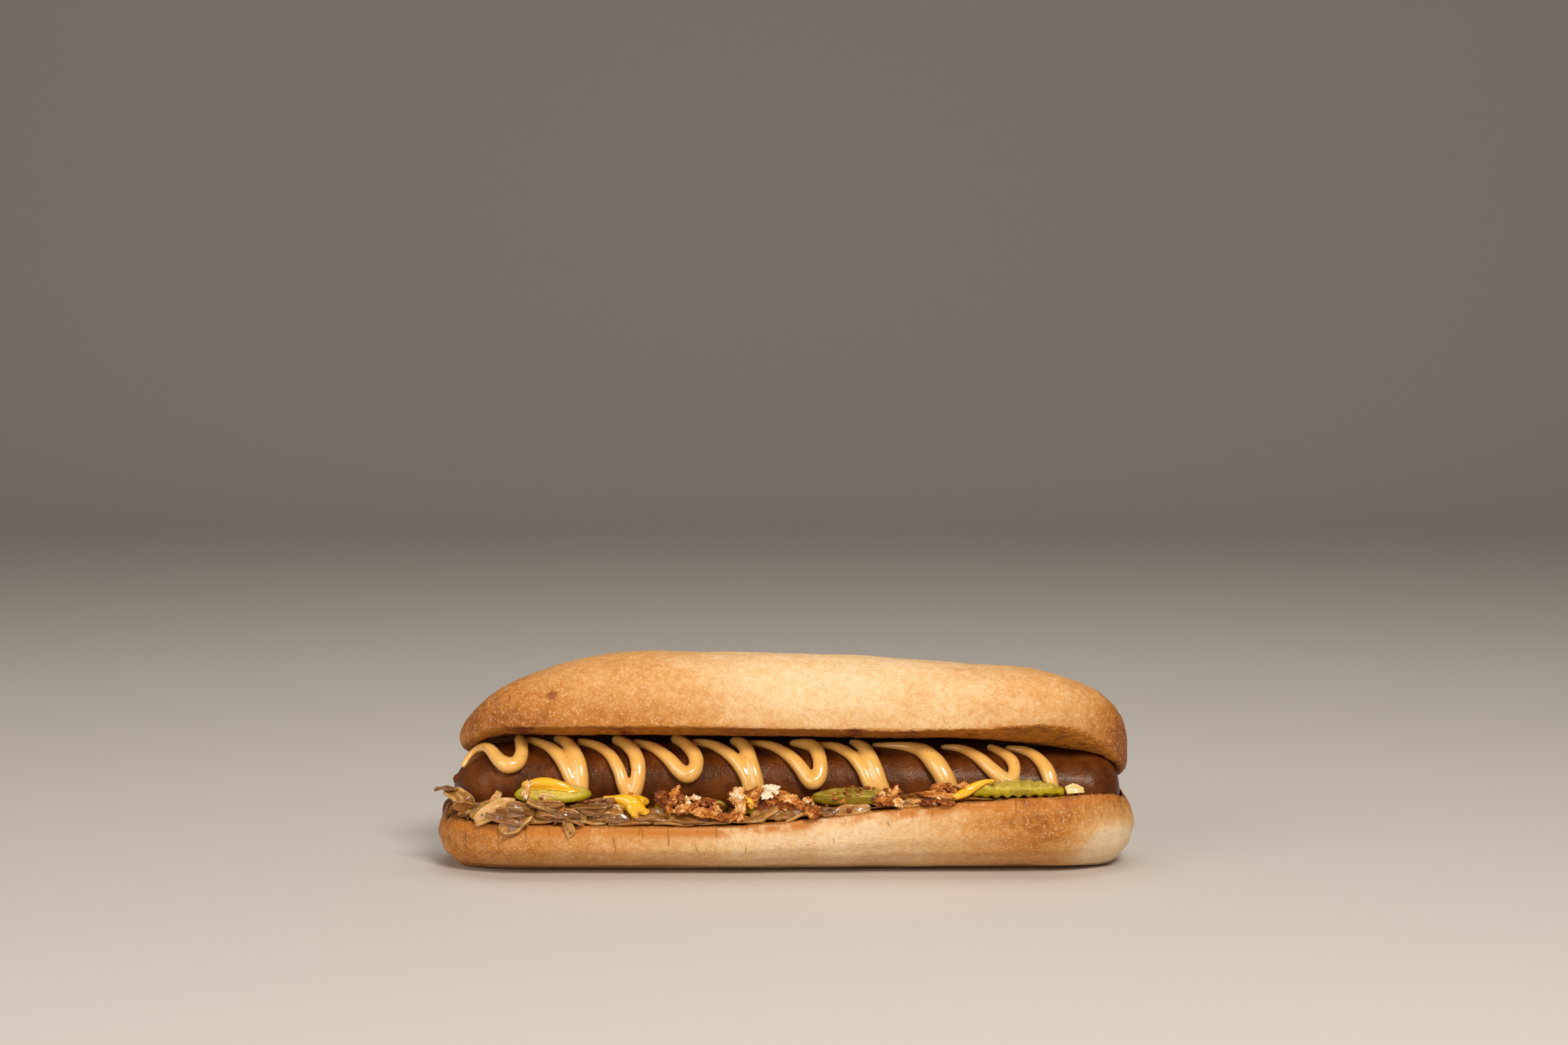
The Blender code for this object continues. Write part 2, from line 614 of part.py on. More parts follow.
def heap_pieces(name, grow, collection):
    """The core of a heap of crispy onions, with shards and crumbs standing out of it."""
    middle, half_sizes, fall, count, seed = HEAPS[name]
    draw = random.Random(seed)
    pieces = []
    for index in range(count):
        along = mix(-0.95, 0.95, (index + 0.5) / count)
        height = math.sqrt(max(1.0 - along * along, 0.05))
        point = (
            middle[0] + along * half_sizes[0] + draw.uniform(-0.8, 0.8),
            middle[1] + draw.uniform(-0.5, 0.45) * half_sizes[1],
            middle[2] + height * half_sizes[2] * draw.uniform(-0.6, 0.8) - fall * along * half_sizes[0],
        )
        place = placed(point, draw.uniform(-80, 80), draw.uniform(-75, 75), draw.uniform(-50, 50))
        size = (SHARD_LENGTH * draw.uniform(0.7, 1.25), SHARD_WIDTH * draw.uniform(0.8, 1.3), SHARD_THICKNESS)
        curl = draw.uniform(0.2, 1.1)
        pieces.append(wavy_strip("shard", place, *size, curl, index + seed, 4, grow, collection))
    return pieces


def heap_core(name, grow, collection):
    middle, half_sizes, fall, _, seed = HEAPS[name]
    return blob(name, middle, half_sizes, grow, seed, collection, roughness=0.5, fall=fall)


def bed_section(x, angle):
    size = ends(x, BED_LEFT, BED_RIGHT, 12 * MM, 20 * MM, 0.5)
    lump = 1.0 + 0.22 * noise.noise(Vector((x / (9 * MM), 1.6 * math.cos(angle), 1.6 * math.sin(angle))))
    y = BED_INWARD - base_half_width(x) + BED_HALF_WIDTH * lump * size * math.cos(angle)
    middle = base_lip(x) + BED_RISE - BED_SINK * smoothstep(0.0, 60 * MM, x)
    z = middle + BED_HALF_HEIGHT * lump * size * math.sin(angle)
    return x, y, z


def petal(name, values, seed, grow, collection):
    middle, length, width, thickness, lean, pitch, turn, curl = values
    place = placed(middle, lean, pitch, turn)
    size = (length * MM, width * MM, thickness * MM)
    return wavy_strip(name, place, *size, 0.6 * curl, seed, 5, grow, collection)


def topping_parts(name, grow, collection):
    """All the shapes that one topping node is fused from, the carrying one first."""
    if name in PICKLES:
        return [pickle_body(name, PICKLES[name], grow, collection), *mustard_on(name, grow, collection)]
    if name in HEAPS:
        core = heap_core(name, grow, collection)
        return [core, *heap_pieces(name, grow, collection), *mustard_on(name, grow, collection)]
    if name == "onion_petal":
        return [petal(name, LONE_PETAL, 3, grow, collection)]
    petals = [petal("petal", values, seed, grow, collection) for seed, values in enumerate(PETALS)]
    bed = swept_body(name, BED_LEFT, BED_RIGHT, bed_section, 24, 12, collection, grow)
    return [bed, *petals, *mustard_on(name, grow, collection)]


def make_toppings(collection):
    """Each topping is cut clear of the bun, the sausage and the toppings made before it."""
    made = []
    for name in (*PICKLES, "onion_petal", "onions", *HEAPS):
        body, *others = topping_parts(name, 0.0, collection)
        combine(body, others, "UNION", "MANIFOLD")
        cutters = bun_halves(GAP, collection) + sausage_parts(GAP, collection)
        for earlier in made:
            cutters += topping_parts(earlier.name, GAP, collection)
        combine(body, cutters, "DIFFERENCE", "MANIFOLD")
        keep_largest(body)
        smooth_shading(body)
        made.append(body)
    return made


# ---------------------------------------------------------------- the whole


def main():
    clear_scene()
    parts = new_collection("hot_dog")
    finishes = {name: principled(name, *values) for name, values in COLOURS.items()}
    bodies = [make_bun(parts), make_sausage(parts), *make_toppings(parts)]
    for body in bodies:
        family = body.name.rsplit("_", 1)[0] if body.name[-1].isdigit() else body.name
        body.data.materials.clear()
        body.data.materials.append(finishes[family])


main()
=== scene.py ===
"""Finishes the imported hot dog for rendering. It is laid out as an add-on: each operator models one kind
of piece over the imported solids, and main() runs them all in order. Metres, +Z up, -Y the open side."""

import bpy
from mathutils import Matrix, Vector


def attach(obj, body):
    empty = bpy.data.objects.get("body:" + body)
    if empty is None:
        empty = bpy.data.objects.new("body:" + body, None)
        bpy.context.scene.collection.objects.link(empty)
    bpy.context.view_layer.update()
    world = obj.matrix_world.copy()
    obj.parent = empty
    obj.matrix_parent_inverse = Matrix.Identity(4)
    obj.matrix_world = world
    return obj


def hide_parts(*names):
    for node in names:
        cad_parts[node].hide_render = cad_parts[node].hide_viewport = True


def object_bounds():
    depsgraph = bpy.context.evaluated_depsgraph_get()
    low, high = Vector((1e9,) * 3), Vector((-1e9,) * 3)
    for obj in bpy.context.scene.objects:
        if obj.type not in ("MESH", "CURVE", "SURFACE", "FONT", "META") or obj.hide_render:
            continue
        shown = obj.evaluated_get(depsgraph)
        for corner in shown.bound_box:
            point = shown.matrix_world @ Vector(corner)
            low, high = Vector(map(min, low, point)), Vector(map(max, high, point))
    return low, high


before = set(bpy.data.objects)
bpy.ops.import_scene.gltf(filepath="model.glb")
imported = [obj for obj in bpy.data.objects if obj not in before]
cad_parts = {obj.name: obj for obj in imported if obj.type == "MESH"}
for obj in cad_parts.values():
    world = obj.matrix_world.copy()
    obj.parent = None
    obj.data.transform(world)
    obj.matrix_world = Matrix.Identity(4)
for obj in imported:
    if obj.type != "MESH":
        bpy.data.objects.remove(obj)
PACKED_BOX = [list(corner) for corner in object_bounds()]

import math
import random

import bmesh
import bpy
import numpy as np
from bpy.props import FloatProperty, IntProperty, PointerProperty
from bpy.types import Operator, Panel, PropertyGroup
from mathutils import Euler, Matrix, Vector, noise
from mathutils.bvhtree import BVHTree

bl_info = {
    "name": "Loaded hot dog",
    "version": (1, 0, 0),
    "blender": (4, 5, 0),
    "location": "View3D > Sidebar > Hot dog",
    "description": "Models the finished bread, sausage, sauce and toppings over the packed solids",
    "category": "Object",
}

MM = 0.001
BOX_MARGIN = 0.05 * MM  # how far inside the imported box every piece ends
CLEARANCE = 0.05 * MM  # the least gap between a loose piece and the solids it lies among
NEARBY = 6 * MM  # how far a solid is looked for round a loose piece

# Bun, as far as the toppings and the browning need it
BASE_LEFT = -113.6 * MM
BASE_RIGHT = 113.8 * MM
BASE_HALF_WIDTH = 32.0 * MM
BASE_LEFT_ROUNDING = 31.0 * MM  # how far the rounding of each end reaches
BASE_RIGHT_ROUNDING = 30.0 * MM
BASE_LIP_LEFT = 17.4 * MM
BASE_LIP_RIGHT = 27.4 * MM
LIP_RISE_FROM = -30.0 * MM  # the lip rises between these places along the bun
LIP_RISE_TO = 95.0 * MM
HALVES_MEET = 34.0 * MM  # above this height the bread belongs to the upper half
CUT_FROM = 12.0 * MM  # the lower half's cut face is above this height
RESTING = 0.8 * MM  # below this height the bread lies flat on the floor
LIP_FROM = -15.0 * MM  # the lower half's lip is in front of this

# Sausage
SAUSAGE_LEFT = -109.0 * MM
SAUSAGE_RIGHT = 110.0 * MM
SAUSAGE_RADIUS = 14.0 * MM
SAUSAGE_Y = -6.0 * MM
SAUSAGE_HEIGHT = 26.9 * MM
SAUSAGE_DIP = 2.2 * MM  # how far its right end is lower than the rest
SAUSAGE_LEFT_ROUNDING = 16.0 * MM
SAUSAGE_RIGHT_ROUNDING = 12.0 * MM
SAUSAGE_CREASE = -94.2 * MM  # where the casing is drawn in round it
KNOT_RADIUS = 2.2 * MM

# Sauce: each strand is a row of (mm along the bun, degrees round the sausage from its top towards the
# open side, radius in mm)
SAUCE = (
    ((-105.6, 24, 0.9), (-103.4, 4, 1.1), (-99.8, 14, 1.4), (-96.4, 32, 1.9), (-93.2, 51, 2.4),
     (-90.2, 59, 2.7), (-87.2, 55, 2.4), (-86.0, 38, 2.2), (-87.3, 8, 1.8)),
    ((-84.5, 2, 1.2), (-79.4, 20, 1.5), (-75.6, 36, 2.0), (-72.0, 56, 2.3), (-69.6, 76, 2.3),
     (-67.8, 97, 2.3)),
    ((-75.0, 3, 1.5), (-71.1, 26, 2.2), (-68.3, 46, 2.4), (-66.6, 66, 2.4), (-66.2, 95, 2.4)),
    ((-67.2, 12, 1.3), (-61.9, 24, 1.5), (-57.4, 42, 1.8), (-54.2, 64, 2.1), (-52.4, 84, 2.2),
     (-50.2, 97, 2.4), (-48.4, 84, 2.4), (-47.8, 62, 2.4), (-49.8, 38, 2.3), (-55.4, 9, 1.7)),
    ((-49.4, 14, 1.2), (-43.4, 29, 1.7), (-38.4, 48, 2.1), (-34.4, 66, 2.5), (-31.4, 71, 2.8),
     (-29.2, 61, 2.4), (-29.8, 43, 2.3), (-36.0, 6, 1.7)),
    ((-30.0, 11, 1.1), (-24.7, 21, 1.5), (-19.6, 38, 1.9), (-15.2, 57, 2.2), (-12.6, 74, 2.2),
     (-11.4, 92, 2.2)),
    ((-16.8, 12, 1.5), (-13.4, 31, 2.3), (-11.2, 56, 2.4), (-9.6, 76, 2.4), (-8.9, 92, 2.3)),
    ((-11.4, 12, 1.0), (-4.6, 25, 1.5), (1.2, 45, 2.0), (4.7, 61, 2.3), (7.2, 75, 2.5), (9.3, 79, 2.8),
     (11.2, 70, 2.4), (11.1, 50, 2.4), (8.8, 29, 2.2), (2.4, 15, 1.1)),
    ((9.8, 18, 1.0), (15.6, 25, 1.4), (21.0, 42, 1.9), (25.1, 63, 2.2), (28.4, 92, 2.3)),
    ((22.0, 14, 1.2), (26.0, 36, 2.2), (29.2, 63, 2.4), (31.9, 92, 2.4)),
    ((29.0, 18, 0.8), (36.9, 22, 1.3), (42.6, 31, 2.0), (46.2, 43, 2.8), (50.7, 66, 3.3), (53.6, 88, 3.1)),
    ((51.6, 18, 0.8), (56.9, 23, 1.3), (62.4, 40, 1.9), (66.8, 58, 2.3), (70.4, 70, 2.5), (72.6, 74, 2.6),
     (74.4, 62, 2.0), (73.6, 43, 1.9), (67.2, 15, 1.1)),
    ((73.0, 15, 1.0), (78.6, 24, 1.5), (82.6, 41, 2.0), (85.4, 61, 2.4), (86.7, 84, 2.4)),
)
STRAND_SINK = 0.8 * MM  # how far a strand settles onto the sausage

# Pickle slices: middle (mm along the bun, out from the lip, up), half length, half width (mm), lean
# and turn (degrees), whether it is crinkle-cut, tint from dark to pale
PICKLES = {
    "pickle_1": ((-75.2, -5.2, 27.0), 12.9, 5.2, 26, 3, False, 0.90),
    "pickle_2": ((-30.5, -5.8, 22.9), 12.3, 5.4, 14, 2, False, 0.80),
    "pickle_3": ((-10.5, -5.6, 23.0), 5.2, 5.0, 22, 0, False, 0.70),
    "pickle_4": ((22.6, -5.2, 26.0), 15.2, 4.7, 12, -2, False, 0.35),
    "pickle_5": ((74.4, -5.0, 28.5), 15.8, 4.9, 12, -2, True, 0.70),
}

# Mustard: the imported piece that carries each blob, its middle and half sizes (mm)
MUSTARD = (
    ("pickle_1", (-78.6, -6.8, 29.8), (7.2, 3.0, 1.6)),
    ("onions", (-49.6, -4.6, 24.2), (6.0, 2.8, 2.6)),
    ("crispy_onions_4", (59.4, -3.8, 27.8), (5.0, 2.4, 1.9)),
)

# Mustard streaks over those blobs: the piece that carries each, and its line of (mm along the bun, out
# from the lip, up, radius)
STREAKS = (
    ("pickle_1", ((-82.8, -5.0, 29.2, 1.0), (-80.6, -4.8, 30.2, 1.7), (-77.0, -4.8, 30.4, 1.8),
                  (-73.4, -4.6, 29.8, 1.6), (-70.4, -4.4, 28.8, 1.2), (-67.8, -4.4, 27.6, 0.7))),
    ("onions", ((-58.6, -2.4, 26.0, 0.5), (-55.4, -2.2, 25.8, 1.0), (-51.6, -1.8, 25.4, 1.9),
                (-48.8, -1.2, 24.2, 2.3), (-46.6, -0.8, 22.8, 1.6), (-45.0, -0.8, 21.8, 0.9))),
    ("onions", ((-50.2, -1.0, 24.4, 1.4), (-49.4, -0.4, 22.6, 1.7), (-48.6, 0.0, 21.0, 1.2))),
    ("crispy_onions_1", ((-33.0, -0.2, 24.4, 0.7), (-31.6, 0.2, 23.4, 1.3), (-30.0, 0.3, 22.4, 0.9))),
    ("crispy_onions_2", ((-12.6, -0.2, 26.0, 0.8), (-11.4, 0.2, 24.8, 1.3), (-10.8, 0.3, 23.4, 0.9))),
    ("crispy_onions_4", ((52.6, -1.4, 25.8, 0.8), (55.6, -1.4, 26.8, 1.4), (58.6, -1.8, 28.2, 1.7),
                         (61.6, -2.6, 29.8, 1.4), (64.6, -3.2, 31.0, 0.9), (67.0, -3.6, 31.2, 0.6))),
)

# Petals that stand out of the onions: middle (mm), length, width, thickness (mm), lean, pitch and turn
# (degrees), curl, tint from dark to pale
PETALS = (
    ((-105.6, -2.6, 23.2), 13.0, 5.4, 1.0, 38, 42, -16, 1.9, 0.70),
    ((-110.0, -1.2, 20.6), 9.0, 2.4, 0.9, 16, -55, 20, 2.2, 0.12),
    ((-93.8, -1.6, 21.6), 15.0, 5.0, 1.0, 58, -26, 4, 0.6, 0.78),
    ((-93.6, -3.4, 25.2), 5.0, 3.2, 0.8, 66, -62, 0, 0.5, 0.76),
    ((-86.6, 0.9, 18.8), 12.0, 7.2, 0.9, 70, -36, 0, 0.4, 0.64),
    ((-77.0, -1.0, 24.4), 7.4, 6.6, 1.1, 74, 24, 0, 0.4, 0.80),
    ((-76.0, -0.6, 20.2), 16.0, 4.6, 1.1, 58, -7, 2, 0.4, 0.50),
    ((-60.3, -1.6, 22.2), 16.4, 4.4, 1.2, 50, 2, 0, 0.5, 0.66),
    ((-69.4, 1.2, 16.4), 5.4, 3.6, 0.9, 80, 78, 0, 0.4, 0.62),
    ((-56.2, -0.8, 19.6), 12.6, 3.8, 1.2, 54, 4, 0, 0.4, 0.22),
    ((-41.5, -1.4, 20.2), 14.0, 4.6, 1.2, 50, 4, 2, 0.5, 0.30),
    ((-30.0, -0.8, 19.4), 13.0, 3.8, 1.1, 46, 2, 0, 0.4, 0.24),
    ((-63.0, -0.5, 18.4), 11.0, 2.2, 0.8, 34, 3, 0, 0.2, 0.46),
    ((-50.0, -0.6, 18.2), 14.0, 2.4, 0.8, 34, -2, 0, 0.2, 0.42),
    ((-36.0, -0.6, 18.2), 13.0, 2.2, 0.8, 34, 2, 0, 0.2, 0.50),
    ((-24.0, -0.6, 18.4), 12.0, 2.4, 0.8, 34, -2, 0, 0.2, 0.40),
    ((-12.0, -0.6, 18.8), 11.0, 2.2, 0.8, 34, 0, 0, 0.2, 0.46),
    ((-7.0, -1.0, 21.2), 9.4, 4.8, 1.0, 58, -24, 0, 0.5, 0.60),
    ((4.4, -0.8, 22.0), 11.0, 3.6, 1.0, 56, -32, 0, 0.5, 0.64),
    ((-1.0, -1.6, 20.6), 9.0, 4.0, 1.1, 50, 0, 0, 0.4, 0.40),
    ((21.2, -1.4, 22.0), 12.6, 4.2, 1.0, 60, -7, 0, 0.3, 0.56),
    ((13.6, -1.0, 21.4), 6.0, 3.6, 1.1, 55, 0, 0, 0.4, 0.18),
    ((40.6, -1.8, 24.0), 9.0, 3.2, 1.0, 46, -6, 2, 0.5, 0.56),
)

# Heaps of crispy onions: the core's middle and half sizes (mm), its fall to the right, and how many more
# pieces lie on it than are listed below
HEAPS = {
    "crispy_onions_1": ((-31.0, -3.0, 23.8), (10.0, 2.2, 2.5), 0.06, 8),
    "crispy_onions_2": ((-4.5, -3.0, 24.2), (13.0, 2.4, 3.1), 0.16, 12),
    "crispy_onions_3": ((34.0, -3.8, 26.8), (3.6, 2.0, 2.1), 0.0, 3),
    "crispy_onions_4": ((50.8, -4.0, 26.4), (7.6, 2.4, 2.1), -0.04, 6),
}

# Crispy pieces that show singly: the heap they belong to, middle (mm along the bun, out from the lip,
# up), half length, half width, half thickness (mm), lean, pitch and turn (degrees), tone from dark to pale
CRISPS = (
    ("crispy_onions_1", (-39.4, -1.4, 26.9), 2.9, 1.3, 0.6, 70, 10, 0, 0.22),
    ("crispy_onions_1", (-35.6, -0.8, 27.2), 3.1, 1.5, 0.7, 78, -62, 8, 0.52),
    ("crispy_onions_1", (-33.2, -0.6, 26.0), 1.9, 1.0, 0.7, 70, 40, 0, 0.30),
    ("crispy_onions_1", (-31.8, -0.2, 24.9), 1.9, 1.4, 0.7, 74, -40, 0, 0.80),
    ("crispy_onions_1", (-28.9, -0.6, 25.9), 1.7, 1.0, 0.6, 60, 8, 0, 0.95),
    ("crispy_onions_1", (-37.2, 0.2, 23.2), 1.4, 2.4, 0.7, 80, 0, 0, 0.45),
    ("crispy_onions_1", (-26.0, 0.9, 21.4), 6.8, 1.7, 0.8, 74, 13, 0, 0.58),
    ("crispy_onions_1", (-32.4, 0.7, 22.2), 3.2, 1.2, 0.8, 68, -24, 6, 0.40),
    ("crispy_onions_1", (-19.8, 1.2, 20.1), 2.2, 1.4, 0.8, 74, -12, 0, 0.34),
    ("crispy_onions_2", (-15.4, 0.2, 27.2), 3.0, 2.3, 1.4, 80, -60, 0, 0.86),
    ("crispy_onions_2", (-14.4, 0.8, 22.6), 3.6, 1.9, 1.3, 78, -84, 6, 0.74),
    ("crispy_onions_2", (-16.6, 1.2, 20.4), 2.2, 1.3, 0.9, 74, -50, 0, 0.52),
    ("crispy_onions_2", (-9.4, -0.6, 27.3), 2.7, 1.7, 0.9, 74, -48, 0, 0.62),
    ("crispy_onions_2", (-10.6, 0.0, 24.6), 2.0, 1.4, 0.8, 70, 30, 0, 0.54),
    ("crispy_onions_2", (-5.4, -0.7, 28.4), 3.4, 2.4, 0.4, 76, -14, 6, 1.24),
    ("crispy_onions_2", (-1.8, -0.4, 26.8), 2.4, 1.6, 0.9, 70, 30, 0, 0.52),
    ("crispy_onions_2", (1.2, -0.2, 26.0), 3.0, 1.8, 0.9, 72, 10, 0, 0.72),
    ("crispy_onions_2", (4.0, 0.2, 24.4), 2.6, 1.5, 0.9, 76, 44, 0, 0.48),
    ("crispy_onions_2", (7.0, -0.2, 25.3), 1.8, 1.2, 0.8, 70, -20, 0, 0.78),
    ("crispy_onions_2", (8.9, 0.7, 21.8), 2.9, 2.1, 0.9, 78, 24, 0, 0.42),
    ("crispy_onions_3", (34.4, -0.8, 27.4), 3.2, 1.6, 0.8, 74, -54, 0, 0.60),
    ("crispy_onions_3", (32.2, -0.4, 25.2), 3.6, 1.5, 0.9, 74, 14, 0, 0.40),
    ("crispy_onions_3", (36.0, -0.6, 24.9), 2.0, 1.4, 0.8, 70, 40, 0, 0.78),
    ("crispy_onions_4", (49.0, -1.6, 29.2), 2.9, 1.4, 0.9, 66, -14, 0, 0.48),
    ("crispy_onions_4", (53.2, -1.6, 29.0), 2.5, 1.4, 0.9, 66, 18, 0, 0.34),
    ("crispy_onions_4", (49.4, -0.6, 27.0), 6.0, 1.5, 0.6, 60, 4, 0, 0.60),
    ("crispy_onions_4", (46.6, 0.0, 25.2), 2.8, 1.4, 0.8, 72, -12, 0, 0.20),
    ("crispy_onions_4", (51.2, 0.0, 25.0), 3.0, 1.3, 0.8, 72, 14, 0, 0.32),
    ("crispy_onions_4", (57.4, -1.8, 29.8), 2.2, 1.2, 0.8, 60, 0, 0, 0.62),
    ("onions", (-83.2, -1.4, 28.4), 3.0, 1.3, 1.0, 76, -76, 0, 0.85),
    ("onions", (-72.4, 1.0, 20.6), 3.6, 0.9, 0.6, 74, -62, 0, 0.36),
    ("onions", (-61.4, -1.4, 24.9), 4.2, 0.7, 0.6, 40, -3, 0, 0.24),
    ("onions", (30.2, -0.6, 24.0), 1.6, 0.7, 0.6, 50, 0, 0, 0.50),
    ("onions", (42.2, -1.2, 24.6), 2.2, 0.8, 0.6, 50, -8, 0, 0.70),
)

CRUMB_ROUGHNESS = 0.8  # how uneven a crumb is, as a share of its size

# Loose crumbs: the node they lie on, from where to where (mm along the bun), how many, tone
CRUMB_ROWS = (
    ("pickle_4", 14.5, 31.0, 26, 0.40),
    ("pickle_1", -81.0, -76.5, 5, 0.25),
    ("onions", -70.0, 96.0, 70, 0.50),
    ("pickle_5", 60.0, 70.0, 3, 0.50),
)

MIDDLE_BAKE = 0.36  # the crust's browning where nothing below changes it
MEAN_UNEVENNESS = 0.61  # what the crust's noises add to its browning on average

# Browning of the crust, with one painted highlight: x, z and their spreads (mm), and how much browner (or
# paler, below zero)
BROWNING = (
    (-95, 52, 30, 30, 0.44),
    (-45, 60, 20, 22, 0.16),
    # painted highlight: the crown's top middle is made paler where the light falls brightest
    (14, 64, 40, 14, -0.26),
    (20, 50, 60, 8, -0.10),
    (95, 60, 26, 18, 0.12),
    (113, 40, 13, 24, 0.62),
    (-108, 14, 26, 20, 0.34),
    (-60, 12, 40, 16, 0.16),
    (10, 12, 50, 14, -0.30),
    (86, 18, 30, 14, 0.50),
    (-40, 48, 70, 8, 0.22),
    (107, 7, 12, 12, -1.1),
    (79, 26.5, 3.6, 2.4, 0.8),
    (91.5, 26.5, 3.0, 2.2, 0.7),
    (-75.4, 59, 1.2, 1.0, 0.8),
)

# What has soaked into the upper half's cut: along the bun and spread (mm), and how much. The orange rows
# are sauce and also painted light: more of the brighter orange where the underside lies in shade
ORANGE_SAUCE = ((-45, 28, 0.5), (60, 16, 0.45), (96, 14, 0.3))
RED_JUICE = ((-85, 4.5, 1.0), (-52, 2.5, 1.0), (22, 6, 1.0), (-15, 4, 0.6), (40, 4, 0.6))

# Stage, in metres
CAMERA_PLACE = (-0.00044, -1.003, 0.185)
CAMERA_DOWN = 4.125  # degrees below level
LIGHTS_AIM = (0.0, 0.0, 0.03)
FLOOR_HALF_WIDTH = 4.0
FLOOR_FRONT, FLOOR_BACK = -1.6, 1.5
FLOOR_BEND = 0.9  # radius of its curve up into the wall
WALL_HEIGHT = 3.0  # above the curve
BEND_FROM, BEND_TO = 0.55, 0.80  # shares of the floor's rows where the curve starts and ends


# ---------------------------------------------------------------- sums that shape the forms


def mix(a, b, share):
    return a + (b - a) * share


def smoothstep(low, high, value):
    """0 up to low, 1 from high, with a soft slope between them. It also works on arrays."""
    t = np.clip((value - low) / (high - low), 0.0, 1.0)
    return t * t * (3.0 - 2.0 * t)


def hill(value, middle, spread):
    """1 at the middle, falling to 0 beyond its spread."""
    return np.exp(-(((value - middle) / spread) ** 2))


def hills(along, rows, up=None):
    """The sum of some hills along the bun, and of their share of the height where up is given."""
    total = np.zeros(len(along))
    for row in rows:
        if up is None:
            middle, spread, amount = row
            total += amount * hill(along, middle, spread)
        else:
            middle, middle_up, spread, spread_up, amount = row
            total += amount * hill(along, middle, spread) * hill(up, middle_up, spread_up)
    return total


def end_rise(distance, length, power):
    """0 at an end, rising like a rounded shoulder to 1 at this length from it."""
    t = np.clip(distance / length, 0.0, 1.0)
    return (1.0 - (1.0 - t) ** 2) ** power


def base_half_width(x):
    left = end_rise(x - BASE_LEFT, BASE_LEFT_ROUNDING, 0.5)
    return BASE_HALF_WIDTH * left * end_rise(BASE_RIGHT - x, BASE_RIGHT_ROUNDING, 0.5)


def base_lip(x):
    """Height of the lower half's front lip."""
    lip = mix(BASE_LIP_LEFT, BASE_LIP_RIGHT, smoothstep(LIP_RISE_FROM, LIP_RISE_TO, x))
    return lip + 0.35 * MM * np.sin(x / (17 * MM))


def from_lip(middle):
    """World place of a middle given along the bun, out from the lower half's front lip, and up (mm)."""
    along, outwards, up = middle
    return Vector((along * MM, -float(base_half_width(along * MM)) - outwards * MM, up * MM))


def placed(point, lean, pitch, turn):
    """A frame at the point, turned by these degrees about X, Y and Z."""
    turned = Euler([math.radians(angle) for angle in (lean, pitch, turn)]).to_matrix().to_4x4()
    return Matrix.Translation(point) @ turned


def sausage_radius(x):
    left = end_rise(x - SAUSAGE_LEFT, SAUSAGE_LEFT_ROUNDING, 0.7)
    right = end_rise(SAUSAGE_RIGHT - x, SAUSAGE_RIGHT_ROUNDING, 0.42)
    crease = 1.0 - 0.03 * hill(x, SAUSAGE_CREASE, 1.5 * MM)
    return float(SAUSAGE_RADIUS * left * right * crease)


def sausage_middle(x):
    """(y, z) of the sausage's axis."""
    y = SAUSAGE_Y - 1.2 * MM * (x / SAUSAGE_RIGHT) ** 2
    return y, float(SAUSAGE_HEIGHT - SAUSAGE_DIP * smoothstep(25 * MM, 100 * MM, x))


def on_sausage(x, degrees, lift):
    """The point at this angle round the sausage, from its top towards the bun's open side."""
    reach = sausage_radius(x) + lift
    angle = math.radians(degrees)
    y, z = sausage_middle(x)
    return Vector((x, y - reach * math.sin(angle), z + reach * math.cos(angle)))


def smooth_route(anchors, steps):
    """Points along a smooth curve through a few anchors."""
    route = []
    last = len(anchors) - 1
    for index in range(last):
        before = anchors[max(index - 1, 0)]
        start, end = anchors[index], anchors[index + 1]
        after = anchors[min(index + 2, last)]
        for step in range(steps):
            t = step / steps
            point = []
            for p0, p1, p2, p3 in zip(before, start, end, after):
                slope = (p2 - p0) * t + (2 * p0 - 5 * p1 + 4 * p2 - p3) * t * t
                point.append(p1 + 0.5 * (slope + (3 * p1 - p0 - 3 * p2 + p3) * t**3))
            route.append(tuple(point))
    route.append(tuple(anchors[-1]))
    return route


# ---------------------------------------------------------------- mesh helpers


def packed(name):
    """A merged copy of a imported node's mesh, in world coordinates."""
    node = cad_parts[name]
    bm = bmesh.new()
    bm.from_mesh(node.data)
    bm.transform(node.matrix_world)
    bmesh.ops.remove_doubles(bm, verts=bm.verts, dist=1e-6)
    bmesh.ops.recalc_face_normals(bm, faces=bm.faces)
    return bm


def object_from(bm, name):
    mesh = bpy.data.meshes.new(name)
    bm.to_mesh(mesh)
    bm.free()
    mesh.shade_smooth()
    obj = bpy.data.objects.new(name, mesh)
    bpy.context.scene.collection.objects.link(obj)
    return obj


def remeshed(bm, name, voxel, smoothing):
    """One closed skin of even small faces over everything in bm, smoothed."""
    obj = object_from(bm, name)
    skin = obj.modifiers.new("Skin", "REMESH")
    skin.mode = "VOXEL"
    skin.voxel_size = voxel * 1.0
    soften = obj.modifiers.new("Soften", "SMOOTH")
    soften.factor = 0.5
    soften.iterations = smoothing
    bpy.context.view_layer.update()
    graph = bpy.context.evaluated_depsgraph_get()
    mesh = bpy.data.meshes.new_from_object(obj.evaluated_get(graph))
    old = obj.data
    obj.modifiers.clear()
    obj.data = mesh
    bpy.data.meshes.remove(old)
    mesh.name = name
    mesh.shade_smooth()
    return obj


def points_of(mesh):
    flat = np.empty(len(mesh.vertices) * 3, np.float32)
    mesh.vertices.foreach_get("co", flat)
    return flat.reshape(-1, 3).astype(np.float64)


def normals_of(mesh):
    flat = np.empty(len(mesh.vertices) * 3, np.float32)
    mesh.vertex_normals.foreach_get("vector", flat)
    return flat.reshape(-1, 3).astype(np.float64)


